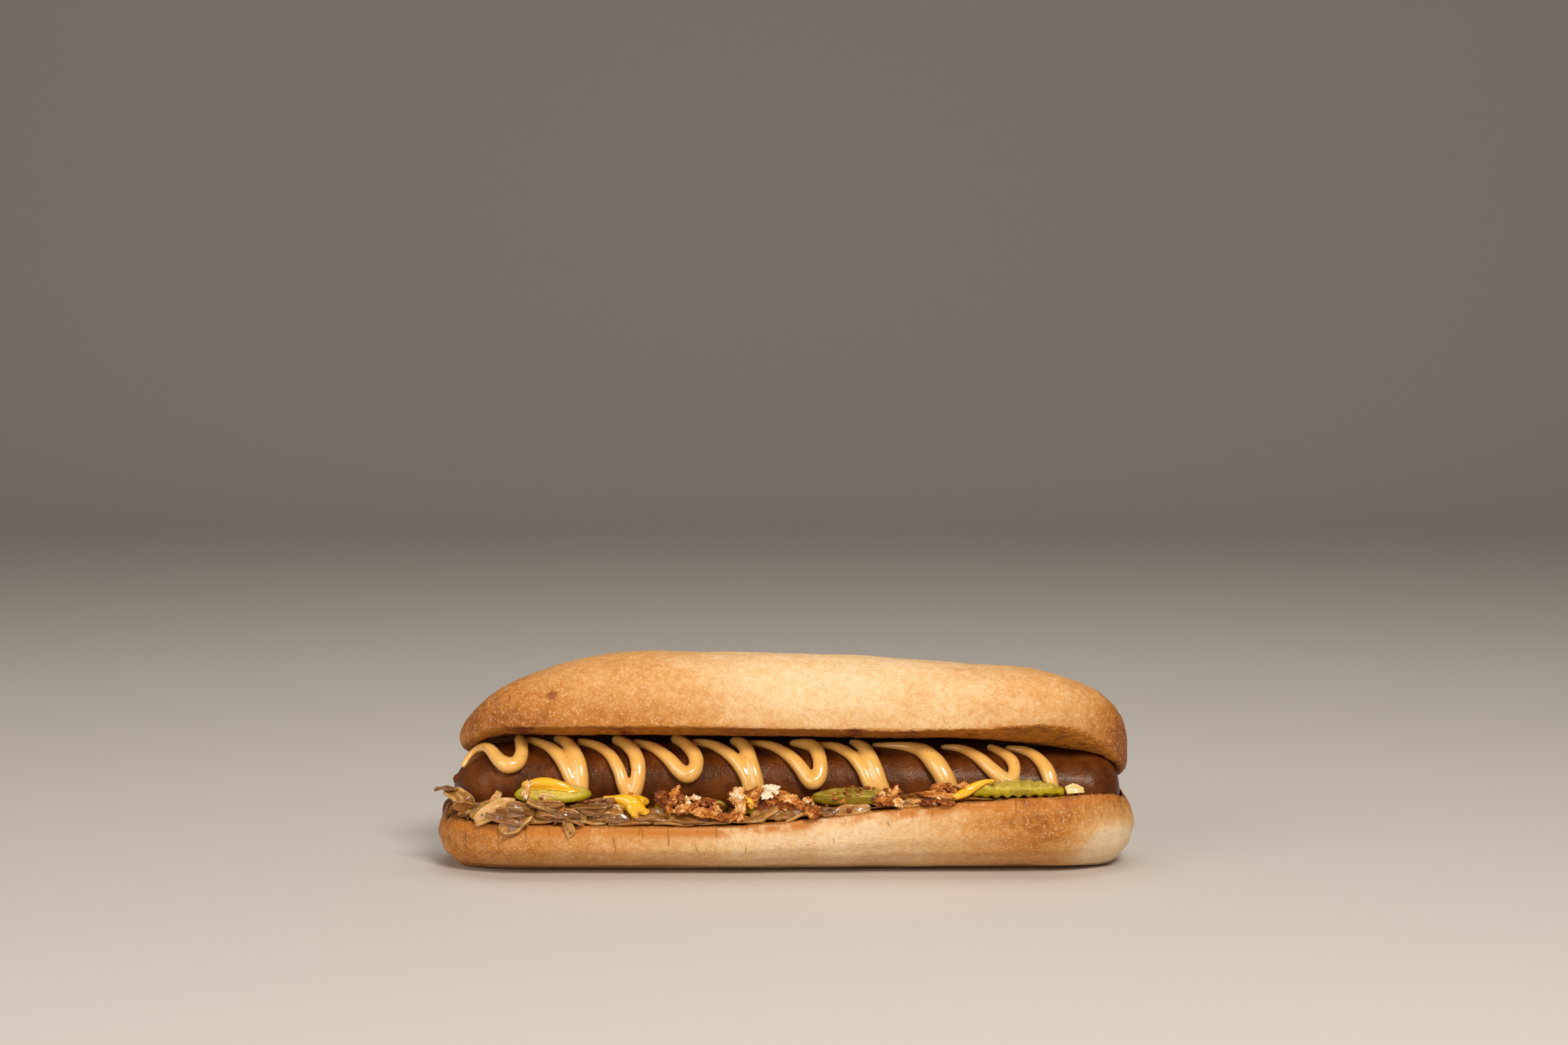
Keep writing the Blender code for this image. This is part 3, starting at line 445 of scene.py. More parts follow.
def set_points(mesh, points):
    """Moves the mesh's points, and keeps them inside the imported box."""
    low, high = (np.array(corner) for corner in PACKED_BOX)
    inside = np.clip(points, low + BOX_MARGIN, high - BOX_MARGIN)
    mesh.vertices.foreach_set("co", inside.astype(np.float32).ravel())
    mesh.update()


def noise_at(points, size, seed=0.0):
    """Smooth noise, about -1 to 1, with features of this size."""
    return np.array([noise.noise(Vector((p[0] + seed, p[1] - seed, p[2]))) for p in points / size])


def set_attribute(mesh, name, values):
    layer = mesh.attributes.new(name, "FLOAT", "POINT")
    layer.data.foreach_set("value", np.asarray(values, np.float32))


def tinted_bmesh():
    """An empty mesh whose points can each hold a shade of their own."""
    bm = bmesh.new()
    bm.verts.layers.float.new("tint")
    return bm


def tint(bm, verts, value):
    """Stores a piece's own shade with its points."""
    layer = bm.verts.layers.float["tint"]
    for vertex in verts:
        vertex[layer] = value


def trees_of(*names):
    """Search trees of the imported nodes, with which a loose piece is kept clear of them."""
    trees = []
    for name in names:
        bm = packed(name)
        trees.append(BVHTree.FromBMesh(bm))
        bm.free()
    return trees


def clear_of(trees, points):
    """Whether all the points are outside the solids of these trees."""
    for tree in trees:
        for point in points:
            near, normal, _, distance = tree.find_nearest(point, NEARBY)
            if near is not None and ((point - near).dot(normal) < 0.0 or distance < CLEARANCE):
                return False
    return True


def in_box(points):
    low, high = PACKED_BOX
    return all(l + BOX_MARGIN <= c <= h - BOX_MARGIN for p in points for l, c, h in zip(low, p, high))


def finish_piece(obj, slot, material, *nodes):
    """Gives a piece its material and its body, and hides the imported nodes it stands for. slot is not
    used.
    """
    obj.data.materials.append(material)
    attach(obj, "root")
    if nodes:
        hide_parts(*nodes)


# ---------------------------------------------------------------- material helpers


class Shader:
    """A material's or a group's node tree, built with few words."""

    def __init__(self, tree):
        self.tree = tree

    def node(self, kind, **settings):
        made = self.tree.nodes.new(kind)
        for key, value in settings.items():
            setattr(made, key, value)
        return made

    def join(self, value, socket):
        """Links an output to the socket, or sets the socket's own value."""
        if isinstance(value, bpy.types.NodeSocket):
            self.tree.links.new(value, socket)
        else:
            socket.default_value = value

    def math(self, operation, *values, clamp=False):
        made = self.node("ShaderNodeMath", operation=operation, use_clamp=clamp)
        for value, socket in zip(values, made.inputs):
            self.join(value, socket)
        return made.outputs[0]

    def between(self, value, low, high, to_low=0.0, to_high=1.0):
        made = self.node("ShaderNodeMapRange", interpolation_type="SMOOTHSTEP")
        for given, socket in zip((value, low, high, to_low, to_high), made.inputs):
            self.join(given, socket)
        return made.outputs["Result"]

    def blend(self, share, first, second):
        """From the first colour at share 0 to the second at share 1."""
        made = self.node("ShaderNodeMix", data_type="RGBA")
        self.join(share, made.inputs[0])
        self.join(first, made.inputs[6])
        self.join(second, made.inputs[7])
        return made.outputs[2]

    def ramp(self, value, *stops):
        """The colour at this value between stops of (value, colour)."""
        made = self.node("ShaderNodeValToRGB")
        self.join(value, made.inputs[0])
        elements = made.color_ramp.elements
        while len(elements) < len(stops):
            elements.new(0.5)
        for element, (position, tone) in zip(elements, stops):
            element.position = position
            element.color = tone
        return made.outputs[0]

    def noise(self, place, scale, detail=2.0, roughness=0.5):
        made = self.node("ShaderNodeTexNoise")
        self.join(place, made.inputs["Vector"])
        made.inputs["Scale"].default_value = scale
        made.inputs["Detail"].default_value = detail
        made.inputs["Roughness"].default_value = roughness
        return made.outputs["Fac"]

    def stretched(self, place, x, y, z):
        """The coordinates scaled along each axis, for textures longer one way."""
        made = self.node("ShaderNodeMapping")
        self.join(place, made.inputs["Vector"])
        made.inputs["Scale"].default_value = (x, y, z)
        return made.outputs["Vector"]

    def bump(self, height, depth, strength=1.0):
        made = self.node("ShaderNodeBump")
        made.inputs["Strength"].default_value = strength
        self.join(depth, made.inputs["Distance"])
        self.join(height, made.inputs["Height"])
        return made.outputs["Normal"]

    def attribute(self, name):
        return self.node("ShaderNodeAttribute", attribute_name=name).outputs["Fac"]

    def group(self, group, **values):
        """A shared group's first output. A value's name has _ for a space."""
        made = self.node("ShaderNodeGroup", node_tree=group)
        for key, value in values.items():
            self.join(value, made.inputs[key.replace("_", " ")])
        return made.outputs[0]


def colour(red, green, blue):
    return (red, green, blue, 1.0)


def new_group(name, numbers, output, output_type):
    """A shader group with a Place input, number inputs with their usual values, and one output.
    Returns its Shader, its inputs and its output's socket."""
    tree = bpy.data.node_groups.new(name, "ShaderNodeTree")
    tree.interface.new_socket("Place", in_out="INPUT", socket_type="NodeSocketVector")
    for key, usual in numbers.items():
        socket = tree.interface.new_socket(key, in_out="INPUT", socket_type="NodeSocketFloat")
        socket.default_value = usual
    tree.interface.new_socket(output, in_out="OUTPUT", socket_type=output_type)
    shader = Shader(tree)
    return shader, shader.node("NodeGroupInput").outputs, shader.node("NodeGroupOutput").inputs[output]


def specks_group():
    """Small scattered dots: 1 on a dot, 0 between them."""
    if "Specks" in bpy.data.node_groups:
        return bpy.data.node_groups["Specks"]
    numbers = {"Scale": 300.0, "Size": 0.2, "Amount": 0.5}
    shader, given, mask = new_group("Specks", numbers, "Mask", "NodeSocketFloat")
    cells = shader.node("ShaderNodeTexVoronoi")
    shader.join(given["Place"], cells.inputs["Vector"])
    shader.join(given["Scale"], cells.inputs["Scale"])
    cell_colour = shader.node("ShaderNodeSeparateColor")
    shader.join(cells.outputs["Color"], cell_colour.inputs[0])
    chosen = shader.math("LESS_THAN", cell_colour.outputs[0], given["Amount"])
    reach = shader.math("MULTIPLY", given["Size"], shader.math("ADD", cell_colour.outputs[1], 0.35))
    dot = shader.between(cells.outputs["Distance"], reach, shader.math("MULTIPLY", reach, 0.6))
    shader.join(shader.math("MULTIPLY", dot, chosen), mask)
    return shader.tree


def relief_group():
    """Two sizes of unevenness as a normal."""
    if "Relief" in bpy.data.node_groups:
        return bpy.data.node_groups["Relief"]
    numbers = {"Coarse scale": 300.0, "Fine scale": 1500.0, "Fine share": 0.4, "Depth": 0.0003}
    shader, given, normal = new_group("Relief", numbers, "Normal", "NodeSocketVector")
    coarse = shader.node("ShaderNodeTexNoise")
    fine = shader.node("ShaderNodeTexNoise")
    for texture, key in ((coarse, "Coarse scale"), (fine, "Fine scale")):
        shader.join(given["Place"], texture.inputs["Vector"])
        shader.join(given[key], texture.inputs["Scale"])
        texture.inputs["Detail"].default_value = 3.0
    height = shader.math("MULTIPLY_ADD", fine.outputs["Fac"], given["Fine share"], coarse.outputs["Fac"])
    shader.join(shader.bump(height, given["Depth"]), normal)
    return shader.tree


def new_material(name, roughness, **settings):
    """Returns the material, its Shader, the Principled shader's inputs and object coordinates."""
    material = bpy.data.materials.new(name)
    material.use_nodes = True
    shader = Shader(material.node_tree)
    inputs = material.node_tree.nodes["Principled BSDF"].inputs
    inputs["Roughness"].default_value = roughness
    for key, value in settings.items():
        inputs[key.replace("_", " ")].default_value = value
    place = shader.node("ShaderNodeTexCoord").outputs["Object"]
    return material, shader, inputs, place


def let_light_in(inputs, weight, radius):
    """Subsurface light, which reaches this far (m) in red, green and blue."""
    inputs["Subsurface Weight"].default_value = weight
    inputs["Subsurface Radius"].default_value = radius
    inputs["Subsurface Scale"].default_value = 1.0


def crust_colour(shader, place, mottle, fine, tiny, browning):
    """The bread's outside: pale where it is floury and where a highlight is painted on the crown's top,
    through gold to dark brown.
    """
    uneven = shader.math("MULTIPLY_ADD", mottle, 0.5, shader.math("MULTIPLY", fine, 0.8))
    bake = shader.math("ADD", shader.attribute("bake"), uneven)
    browned = shader.math("ADD", bake, browning - MEAN_UNEVENNESS)
    crust = shader.ramp(
        browned,
        (0.0, colour(0.86, 0.63, 0.38)),
        (0.28, colour(0.77, 0.47, 0.21)),
        (0.52, colour(0.67, 0.32, 0.095)),
        (0.78, colour(0.52, 0.185, 0.026)),
        (1.0, colour(0.30, 0.080, 0.010)),
    )
    # pale blisters where it is browner, fine flecks and specks all over, and a few dark pin spots
    blisters = shader.group(specks_group(), Place=place, Scale=1500.0, Size=0.36, Amount=0.34)
    blisters = shader.math("MULTIPLY", blisters, shader.between(browned, 0.25, 0.8, 0.15, 0.5))
    crust = shader.blend(blisters, crust, colour(0.90, 0.66, 0.38))
    crust = shader.blend(shader.between(tiny, 0.54, 0.68, 0.0, 0.40), crust, colour(0.92, 0.70, 0.43))
    crust = shader.blend(shader.between(tiny, 0.46, 0.34, 0.0, 0.30), crust, colour(0.44, 0.17, 0.04))
    pins = shader.group(specks_group(), Place=place, Scale=90.0, Size=0.05, Amount=0.12)
    return shader.blend(shader.math("MULTIPLY", pins, 0.8), crust, colour(0.16, 0.05, 0.02))


def upright_cracks(shader, place):
    """1 in the fine upright cracks under the lower half's lip, 0 beside them."""
    drift = shader.node("ShaderNodeTexNoise")
    shader.join(place, drift.inputs["Vector"])
    drift.inputs["Scale"].default_value = 260.0
    wander = shader.node("ShaderNodeVectorMath", operation="MULTIPLY_ADD")
    shader.join(drift.outputs["Color"], wander.inputs[0])
    wander.inputs[1].default_value = (0.0022, 0.0022, 0.0022)
    shader.join(shader.stretched(place, 1.0, 1.0, 0.22), wander.inputs[2])
    cells = shader.node("ShaderNodeTexVoronoi", feature="DISTANCE_TO_EDGE")
    shader.join(wander.outputs[0], cells.inputs["Vector"])
    cells.inputs["Scale"].default_value = 110.0
    crack = shader.between(cells.outputs["Distance"], 0.030, 0.0)
    patches = shader.between(shader.noise(place, 150.0, 1.0), 0.48, 0.58)
    return shader.math("MULTIPLY", crack, shader.math("MULTIPLY", patches, shader.attribute("cracked")))


def cut_colour(shader, place, mottle, pores):
    """The cut faces' open crumb: toasted, and soaked with orange sauce and dark red juice; the orange is
    partly painted light on the shaded underside.
    """
    cut = shader.blend(pores, colour(0.27, 0.085, 0.010), colour(0.44, 0.165, 0.024))
    cut = shader.blend(shader.between(mottle, 0.45, 0.65, 0.0, 0.6), cut, colour(0.40, 0.14, 0.020))
    runny = shader.noise(place, 240.0, 3.0, 0.6)
    for soaked, low, high, tone in (
        ("orange", 0.36, 0.52, colour(0.62, 0.22, 0.015)),
        ("red", 0.62, 0.46, colour(0.17, 0.028, 0.006)),
    ):
        wet = shader.between(runny, low, high)
        share = shader.math("MULTIPLY", shader.attribute(soaked), wet, clamp=True)
        cut = shader.blend(share, cut, tone)
    return cut


def bread_material(settings):
    material, shader, inputs, place = new_material("bread", 0.62, Specular_IOR_Level=0.25)
    mottle = shader.noise(place, 95.0, 5.0, 0.66)
    fine = shader.noise(place, 420.0, 5.0, 0.75)
    tiny = shader.noise(place, 1100.0, 4.0, 0.65)
    crumb = shader.attribute("crumb")
    crack = upright_cracks(shader, place)
    pores = shader.between(shader.noise(place, 620.0, 2.0, 0.6), 0.42, 0.62)
    crust = crust_colour(shader, place, mottle, fine, tiny, settings.browning)
    crust = shader.blend(shader.math("MULTIPLY", crack, 0.65), crust, colour(0.40, 0.15, 0.04))
    whole = shader.blend(crumb, crust, cut_colour(shader, place, mottle, pores))
    # the cut's browner edge, then the toasted line along the lip
    uneven = shader.between(mottle, 0.38, 0.55, 0.25, 0.85)
    edge = shader.math("MULTIPLY", shader.attribute("edge"), uneven)
    whole = shader.blend(edge, whole, colour(0.56, 0.21, 0.045))
    broken = shader.between(mottle, 0.40, 0.56, 0.15, 1.0)
    line = shader.math("MULTIPLY", shader.attribute("lip"), broken)
    whole = shader.blend(line, whole, colour(0.55, 0.18, 0.022))
    shader.join(whole, inputs["Base Color"])
    grain = shader.math("MULTIPLY_ADD", tiny, 0.8, shader.noise(place, 260.0, 3.0, 0.6))
    grain = shader.math("SUBTRACT", grain, shader.math("MULTIPLY", crack, 0.8))
    deeper = shader.math("MULTIPLY", pores, shader.math("MULTIPLY", crumb, 1.6))
    height = shader.math("ADD", grain, deeper)
    shader.join(shader.bump(height, settings.relief, strength=0.8), inputs["Normal"])
    return material


def sausage_material(settings):
    material, shader, inputs, place = new_material(
        "sausage_skin", 0.34, Specular_IOR_Level=0.22, Coat_Weight=0.05, Coat_Roughness=0.15
    )
    inputs["Specular Tint"].default_value = colour(1.0, 0.74, 0.52)
    shade = shader.between(shader.noise(place, 120.0, 4.0, 0.6), 0.32, 0.72)
    skin = shader.blend(shade, colour(0.068, 0.015, 0.0025), colour(0.155, 0.040, 0.006))
    streaks = shader.noise(shader.stretched(place, 0.18, 1.0, 1.0), 420.0, 3.0, 0.6)
    skin = shader.blend(shader.between(streaks, 0.55, 0.75, 0.0, 0.3), skin, colour(0.19, 0.058, 0.014))
    pits = shader.group(specks_group(), Place=place, Scale=520.0, Size=0.22, Amount=0.22)
    skin = shader.blend(shader.math("MULTIPLY", pits, 0.35), skin, colour(0.05, 0.014, 0.006))
    shader.join(skin, inputs["Base Color"])
    satin = shader.between(shader.noise(place, 300.0, 3.0), 0.35, 0.7, 0.24, 0.42)
    shader.join(satin, inputs["Roughness"])
    relief = shader.group(
        relief_group(), Place=place, Coarse_scale=380.0, Fine_share=0.6, Depth=settings.relief
    )
    shader.join(relief, inputs["Normal"])
    return material


def sauce_material():
    material, shader, inputs, place = new_material(
        "sauce", 0.22, Specular_IOR_Level=0.55, Coat_Weight=0.9, Coat_Roughness=0.06
    )
    let_light_in(inputs, 0.12, (0.0020, 0.0011, 0.0004))
    cloudy = shader.noise(place, 140.0, 2.0)
    base = shader.blend(cloudy, colour(0.87, 0.445, 0.088), colour(0.91, 0.52, 0.145))
    spice = shader.group(specks_group(), Place=place, Scale=760.0, Size=0.24, Amount=0.10)
    base = shader.blend(shader.math("MULTIPLY", spice, 0.8), base, colour(0.42, 0.09, 0.015))
    shader.join(base, inputs["Base Color"])
    return material


def mustard_material():
    material, shader, inputs, place = new_material(
        "mustard", 0.2, Specular_IOR_Level=0.55, Coat_Weight=0.8, Coat_Roughness=0.06
    )
    cloudy = shader.noise(place, 260.0, 3.0)
    base = shader.blend(cloudy, colour(0.94, 0.43, 0.006), colour(0.97, 0.53, 0.015))
    shader.join(base, inputs["Base Color"])
    return material


def shared_mustard():
    return bpy.data.materials.get("mustard") or mustard_material()


def pickle_material():
    material, shader, inputs, place = new_material(
        "pickle", 0.3, Specular_IOR_Level=0.22, Coat_Weight=0.12, Coat_Roughness=0.05
    )
    pale = shader.math("ADD", shader.attribute("tint"), shader.noise(place, 260.0, 3.0, 0.6))
    paleness = shader.between(pale, 0.4, 1.4)
    flesh = shader.blend(paleness, colour(0.15, 0.095, 0.003), colour(0.70, 0.53, 0.09))
    cloud = shader.between(shader.noise(place, 600.0, 2.0), 0.5, 0.7, 0.0, 0.5)
    flesh = shader.blend(cloud, flesh, colour(0.32, 0.25, 0.010))
    mottle = shader.noise(place, 500.0, 3.0)
    skin = shader.blend(mottle, colour(0.12, 0.070, 0.0005), colour(0.33, 0.195, 0.001))
    skin = shader.blend(shader.between(pale, 0.95, 1.35), skin, colour(0.43, 0.31, 0.005))
    whole = shader.blend(shader.attribute("rim"), flesh, skin)
    seeds = shader.group(specks_group(), Place=place, Scale=420.0, Size=0.26, Amount=0.16)
    whole = shader.blend(shader.math("MULTIPLY", seeds, 0.55), whole, colour(0.09, 0.07, 0.006))
    shader.join(whole, inputs["Base Color"])
    relief = shader.group(relief_group(), Place=place, Coarse_scale=520.0, Depth=0.00025)
    shader.join(relief, inputs["Normal"])
    return material


def onion_material():
    material, shader, inputs, place = new_material(
        "soft_onion", 0.3, Specular_IOR_Level=0.4, Coat_Weight=0.35, Coat_Roughness=0.06
    )
    let_light_in(inputs, 0.5, (0.0030, 0.0018, 0.0008))
    veins = shader.noise(shader.stretched(place, 0.4, 1.0, 1.0), 330.0, 3.0, 0.6)
    veined = shader.math("MULTIPLY", shader.math("SUBTRACT", veins, 0.5), 0.25)
    flesh = shader.ramp(
        shader.math("ADD", shader.attribute("tint"), veined),
        (0.0, colour(0.11, 0.036, 0.008)),
        (0.35, colour(0.32, 0.130, 0.024)),
        (0.68, colour(0.60, 0.29, 0.070)),
        (1.0, colour(0.85, 0.57, 0.23)),
    )
    shader.join(flesh, inputs["Base Color"])
    relief = shader.group(
        relief_group(), Place=place, Coarse_scale=320.0, Fine_share=0.15, Depth=0.00025
    )
    shader.join(relief, inputs["Normal"])
    return material


def crispy_material():
    material, shader, inputs, place = new_material("crispy_onion", 0.5, Specular_IOR_Level=0.25)
    rough = shader.noise(place, 700.0, 4.0, 0.65)
    browned = shader.math("MULTIPLY", shader.math("SUBTRACT", rough, 0.5), 0.7)
    coat = shader.ramp(
        shader.math("ADD", shader.attribute("tint"), browned),
        (0.0, colour(0.06, 0.012, 0.003)),
        (0.3, colour(0.29, 0.068, 0.010)),
        (0.58, colour(0.62, 0.21, 0.030)),
        (0.82, colour(0.80, 0.43, 0.14)),
        (1.0, colour(0.92, 0.76, 0.55)),
    )
    shader.join(coat, inputs["Base Color"])
    relief = shader.group(
        relief_group(), Place=place, Coarse_scale=900.0, Fine_scale=2600.0, Depth=0.0005
    )
    shader.join(relief, inputs["Normal"])
    return material


def plain_material(name, tone, roughness):
    material, _, inputs, _ = new_material(name, roughness)
    inputs["Base Color"].default_value = tone
    return material


# ---------------------------------------------------------------- settings


class BunSettings(PropertyGroup):
    voxel: FloatProperty(
        name="Face size", description="Size of the bread's faces", default=1.0 * MM, unit="LENGTH"
    )
    smoothing: IntProperty(name="Smoothing", description="How often the form is softened", default=4)
    lumps: FloatProperty(
        name="Lumps", description="Height of its slow unevenness", default=0.45 * MM, unit="LENGTH"
    )
    browning: FloatProperty(name="Browning", description="Added to the crust's browning", default=0.0)
    relief: FloatProperty(
        name="Relief", description="Depth of the crust's fine relief", default=0.5 * MM, unit="LENGTH"
    )


class SausageSettings(PropertyGroup):
    rings: IntProperty(name="Rings", description="Rings along the sausage", default=220)
    sides: IntProperty(name="Sides", description="Points round the sausage", default=96)
    wrinkles: FloatProperty(
        name="Wrinkles", description="Depth of the casing's wrinkles", default=0.22 * MM, unit="LENGTH"
    )
    relief: FloatProperty(
        name="Relief", description="Depth of the casing's fine relief", default=0.25 * MM, unit="LENGTH"
    )


class SauceSettings(PropertyGroup):
    fullness: FloatProperty(name="Fullness", description="Share of each strand's radius", default=1.0)
    voxel: FloatProperty(
        name="Face size", description="Size of the sauce's faces", default=0.4 * MM, unit="LENGTH"
    )


class ToppingSettings(PropertyGroup):
    voxel: FloatProperty(
        name="Face size", description="Size of the toppings' faces", default=0.42 * MM, unit="LENGTH"
    )
    strips: IntProperty(name="Onion strips", description="Soft onion strips on the bed", default=62)


class StageSettings(PropertyGroup):
    lens: FloatProperty(name="Lens", description="Focal length in mm", default=70.0)
    key: FloatProperty(name="Front light", description="Its power", default=11.4, unit="POWER")
    fill: FloatProperty(name="Side light", description="Its power", default=5.4, unit="POWER")
    top: FloatProperty(name="Overhead light", description="Its power", default=4.6, unit="POWER")


# ---------------------------------------------------------------- pieces


class HOTDOG_OT_bun(Operator):
    """Model the bread: smooth crust, open crumb on the cut faces, toasted edges"""

    bl_idname = "hotdog.bun"
    bl_label = "Bun"

    def execute(self, context):
        settings = context.scene.hot_dog_bun
        obj = remeshed(packed("bun"), "bun_bread", settings.voxel, settings.smoothing)
        mesh = obj.data
        points = points_of(mesh)
        normals = normals_of(mesh)
        lower = points[:, 2] < HALVES_MEET
        cut_lower = smoothstep(0.5, 0.75, normals[:, 2]) * (points[:, 2] > CUT_FROM)
        cut_upper = smoothstep(0.45, 0.62, -normals[:, 2])
        crumb = np.where(lower, cut_lower, cut_upper)
        slow = noise_at(points, 17 * MM) - 0.6
        dimples = noise_at(points, 5 * MM, 3.1) - 0.6
        holes = np.clip(noise_at(points, 2.6 * MM, 7.7) + 0.2, 0.0, 1.0)
        shift = settings.lumps * slow * (1.0 - crumb) + 0.12 * MM * dimples
        shift -= crumb * 0.35 * MM * holes
        shift[points[:, 2] < RESTING] = 0.0
        set_points(mesh, points + normals * shift[:, None])
        set_attribute(mesh, "crumb", crumb)
        set_attribute(mesh, "edge", 4.0 * crumb * (1.0 - crumb))
        self.mark_crust(mesh, points, lower)
        finish_piece(obj, "bread", bread_material(settings), "bun")
        return {"FINISHED"}

    def mark_crust(self, mesh, points, lower):
        """Stores where the crust is browner or painted paler as a highlight on the crown's top, cracked,
        toasted along the lip, and soaked.
        """
        x, z = points[:, 0] / MM, points[:, 2] / MM
        # the browning, with the painted highlight on the crown's top from its pale row
        bake = MIDDLE_BAKE + hills(x, BROWNING, z)
        under_lip = np.where(lower, base_lip(points[:, 0]) - points[:, 2], 1.0)
        cracked = np.where(lower, 1.0 - smoothstep(6 * MM, 14 * MM, under_lip), 0.12)
        toasted = hill(under_lip, 2.0 * MM, 1.9 * MM) * lower * (points[:, 1] < LIP_FROM)
        set_attribute(mesh, "bake", bake)
        set_attribute(mesh, "cracked", cracked * (points[:, 1] < 0.0))
        set_attribute(mesh, "lip", toasted)
        # orange: sauce soaked into the upper half's cut, and partly painted light where the underside lies
        # in shade
        set_attribute(mesh, "orange", (0.35 + hills(x, ORANGE_SAUCE)) * ~lower)
        set_attribute(mesh, "red", hills(x, RED_JUICE) * ~lower)


class HOTDOG_OT_sausage(Operator):
    """Model the sausage: satin casing, wrinkled towards its twisted end"""

    bl_idname = "hotdog.sausage"
    bl_label = "Sausage"

    def execute(self, context):
        settings = context.scene.hot_dog_sausage
        bm = bmesh.new()
        bmesh.ops.create_uvsphere(bm, u_segments=settings.sides, v_segments=settings.rings, radius=1.0)
        for vertex in bm.verts:
            across, up, along = vertex.co
            x = mix(SAUSAGE_LEFT, SAUSAGE_RIGHT, 0.5 * (1.0 + along))
            angle = math.atan2(up, across)
            reach = sausage_radius(x)
            y, z = sausage_middle(x)
            near_knot = float(hill(x, SAUSAGE_LEFT, 9 * MM))
            folds = near_knot * math.sin(9.0 * angle + 1.2 * math.sin(3.0 * angle))
            rings = noise.noise(Vector((x / (2.2 * MM), 2.0 * math.cos(angle), 2.0 * math.sin(angle))))
            slow = noise.noise(Vector((x / (14 * MM), math.cos(angle), math.sin(angle))))
            ends = float(hill(x, SAUSAGE_LEFT, 16 * MM) + hill(x, SAUSAGE_RIGHT, 12 * MM))
            dent = settings.wrinkles * (1.6 * folds + 1.0 * rings * min(ends, 1.0) + 1.2 * slow)
            reach = max(reach - settings.wrinkles * 1.2 + dent, 0.0)
            vertex.co = (x, y + reach * math.cos(angle), z + reach * math.sin(angle))
        y, z = sausage_middle(SAUSAGE_LEFT)
        place = Matrix.Translation((SAUSAGE_LEFT + 1.6 * MM, y, z + 1.5 * MM))
        nub = bmesh.ops.create_icosphere(bm, subdivisions=4, radius=KNOT_RADIUS - 0.1 * MM, matrix=place)
        middle = place.translation
        for vertex in nub["verts"]:
            step = vertex.co - middle
            vertex.co = middle + step * (1.0 - 0.14 * abs(noise.noise(step * 900.0)))
        bmesh.ops.recalc_face_normals(bm, faces=bm.faces)
        obj = object_from(bm, "sausage_casing")
        finish_piece(obj, "sausage_skin", sausage_material(settings), "sausage")
        return {"FINISHED"}


def rounded_ends(centres, radii, steps=6):
    """The same row of centres and radii, carried on at both ends so that it closes in a dome."""
    for first in (True, False):
        end, inner = (centres[0], centres[1]) if first else (centres[-1], centres[-2])
        radius = radii[0] if first else radii[-1]
        onwards = (end - inner).normalized() * radius
        turns = [0.5 * math.pi * step / steps for step in range(1, steps + 1)]
        cap = [(end + onwards * math.sin(turn), radius * math.cos(turn)) for turn in turns]
        cap_centres, cap_radii = [c for c, _ in cap], [r for _, r in cap]
        if first:
            centres, radii = cap_centres[::-1] + centres, cap_radii[::-1] + radii
        else:
            centres, radii = centres + cap_centres, radii + cap_radii
    return centres, radii


def add_tube(bm, centres, radii, outwards_at):
    """A round tube along the centres, closed at its ends. outwards_at gives its upper side's direction."""
    count = len(centres)
    made = bmesh.ops.create_uvsphere(bm, u_segments=20, v_segments=2 * count, radius=1.0)
    for vertex in made["verts"]:
        across, up, along = vertex.co
        turn = math.atan2(up, across)
        share = 0.5 * (1.0 + along) * (count - 1)
        index = min(int(share), count - 2)
        part = share - index
        centre = centres[index].lerp(centres[index + 1], part)
        axis = (centres[index + 1] - centres[index]).normalized()
        side = axis.cross(outwards_at(centre)).normalized()
        outwards = side.cross(axis)
        size = mix(radii[index], radii[index + 1], part)
        wave = 1.0 + 0.05 * noise.noise(centre * 260.0)
        vertex.co = centre + size * wave * (math.cos(turn) * side + math.sin(turn) * outwards)


def from_sausage_axis(point):
    y, z = sausage_middle(point.x)
    return point - Vector((point.x, y, z))


def streak_centres(anchors):
    """[(centre, radius)] along a streak of mustard."""
    return [(from_lip(entry[:3]), entry[3] * MM) for entry in smooth_route(anchors, 6)]


def with_streaks(bm, carrier):
    """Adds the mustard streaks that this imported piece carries."""
    for name, anchors in STREAKS:
        if name == carrier:
            row = streak_centres(anchors)
            centres, radii = rounded_ends([centre for centre, _ in row], [radius for _, radius in row])
            add_tube(bm, centres, radii, lambda point: Vector((0.0, -0.4, 1.0)))
    return bm


def add_strand(bm, settings, anchors):
    """A soft round strand laid through these anchors on the sausage."""
    route = smooth_route(anchors, 9)
    centres = [on_sausage(x * MM, turn, max(radius * MM - STRAND_SINK, 0.0)) for x, turn, radius in route]
    centres, radii = rounded_ends(centres, [radius * MM * settings.fullness for _, _, radius in route])
    add_tube(bm, centres, radii, from_sausage_axis)


class HOTDOG_OT_sauce(Operator):
    """Model the zigzag of sauce over the sausage"""

    bl_idname = "hotdog.sauce"
    bl_label = "Sauce"

    def execute(self, context):
        settings = context.scene.hot_dog_sauce
        bm = bmesh.new()
        for anchors in SAUCE:
            add_strand(bm, settings, anchors)
        bmesh.ops.recalc_face_normals(bm, faces=bm.faces)
        obj = remeshed(bm, "sauce_zigzag", settings.voxel, 7)
        mesh = obj.data
        set_points(mesh, points_of(mesh) + normals_of(mesh) * 0.1 * MM)
        finish_piece(obj, "sauce", sauce_material(), "sausage")
        return {"FINISHED"}


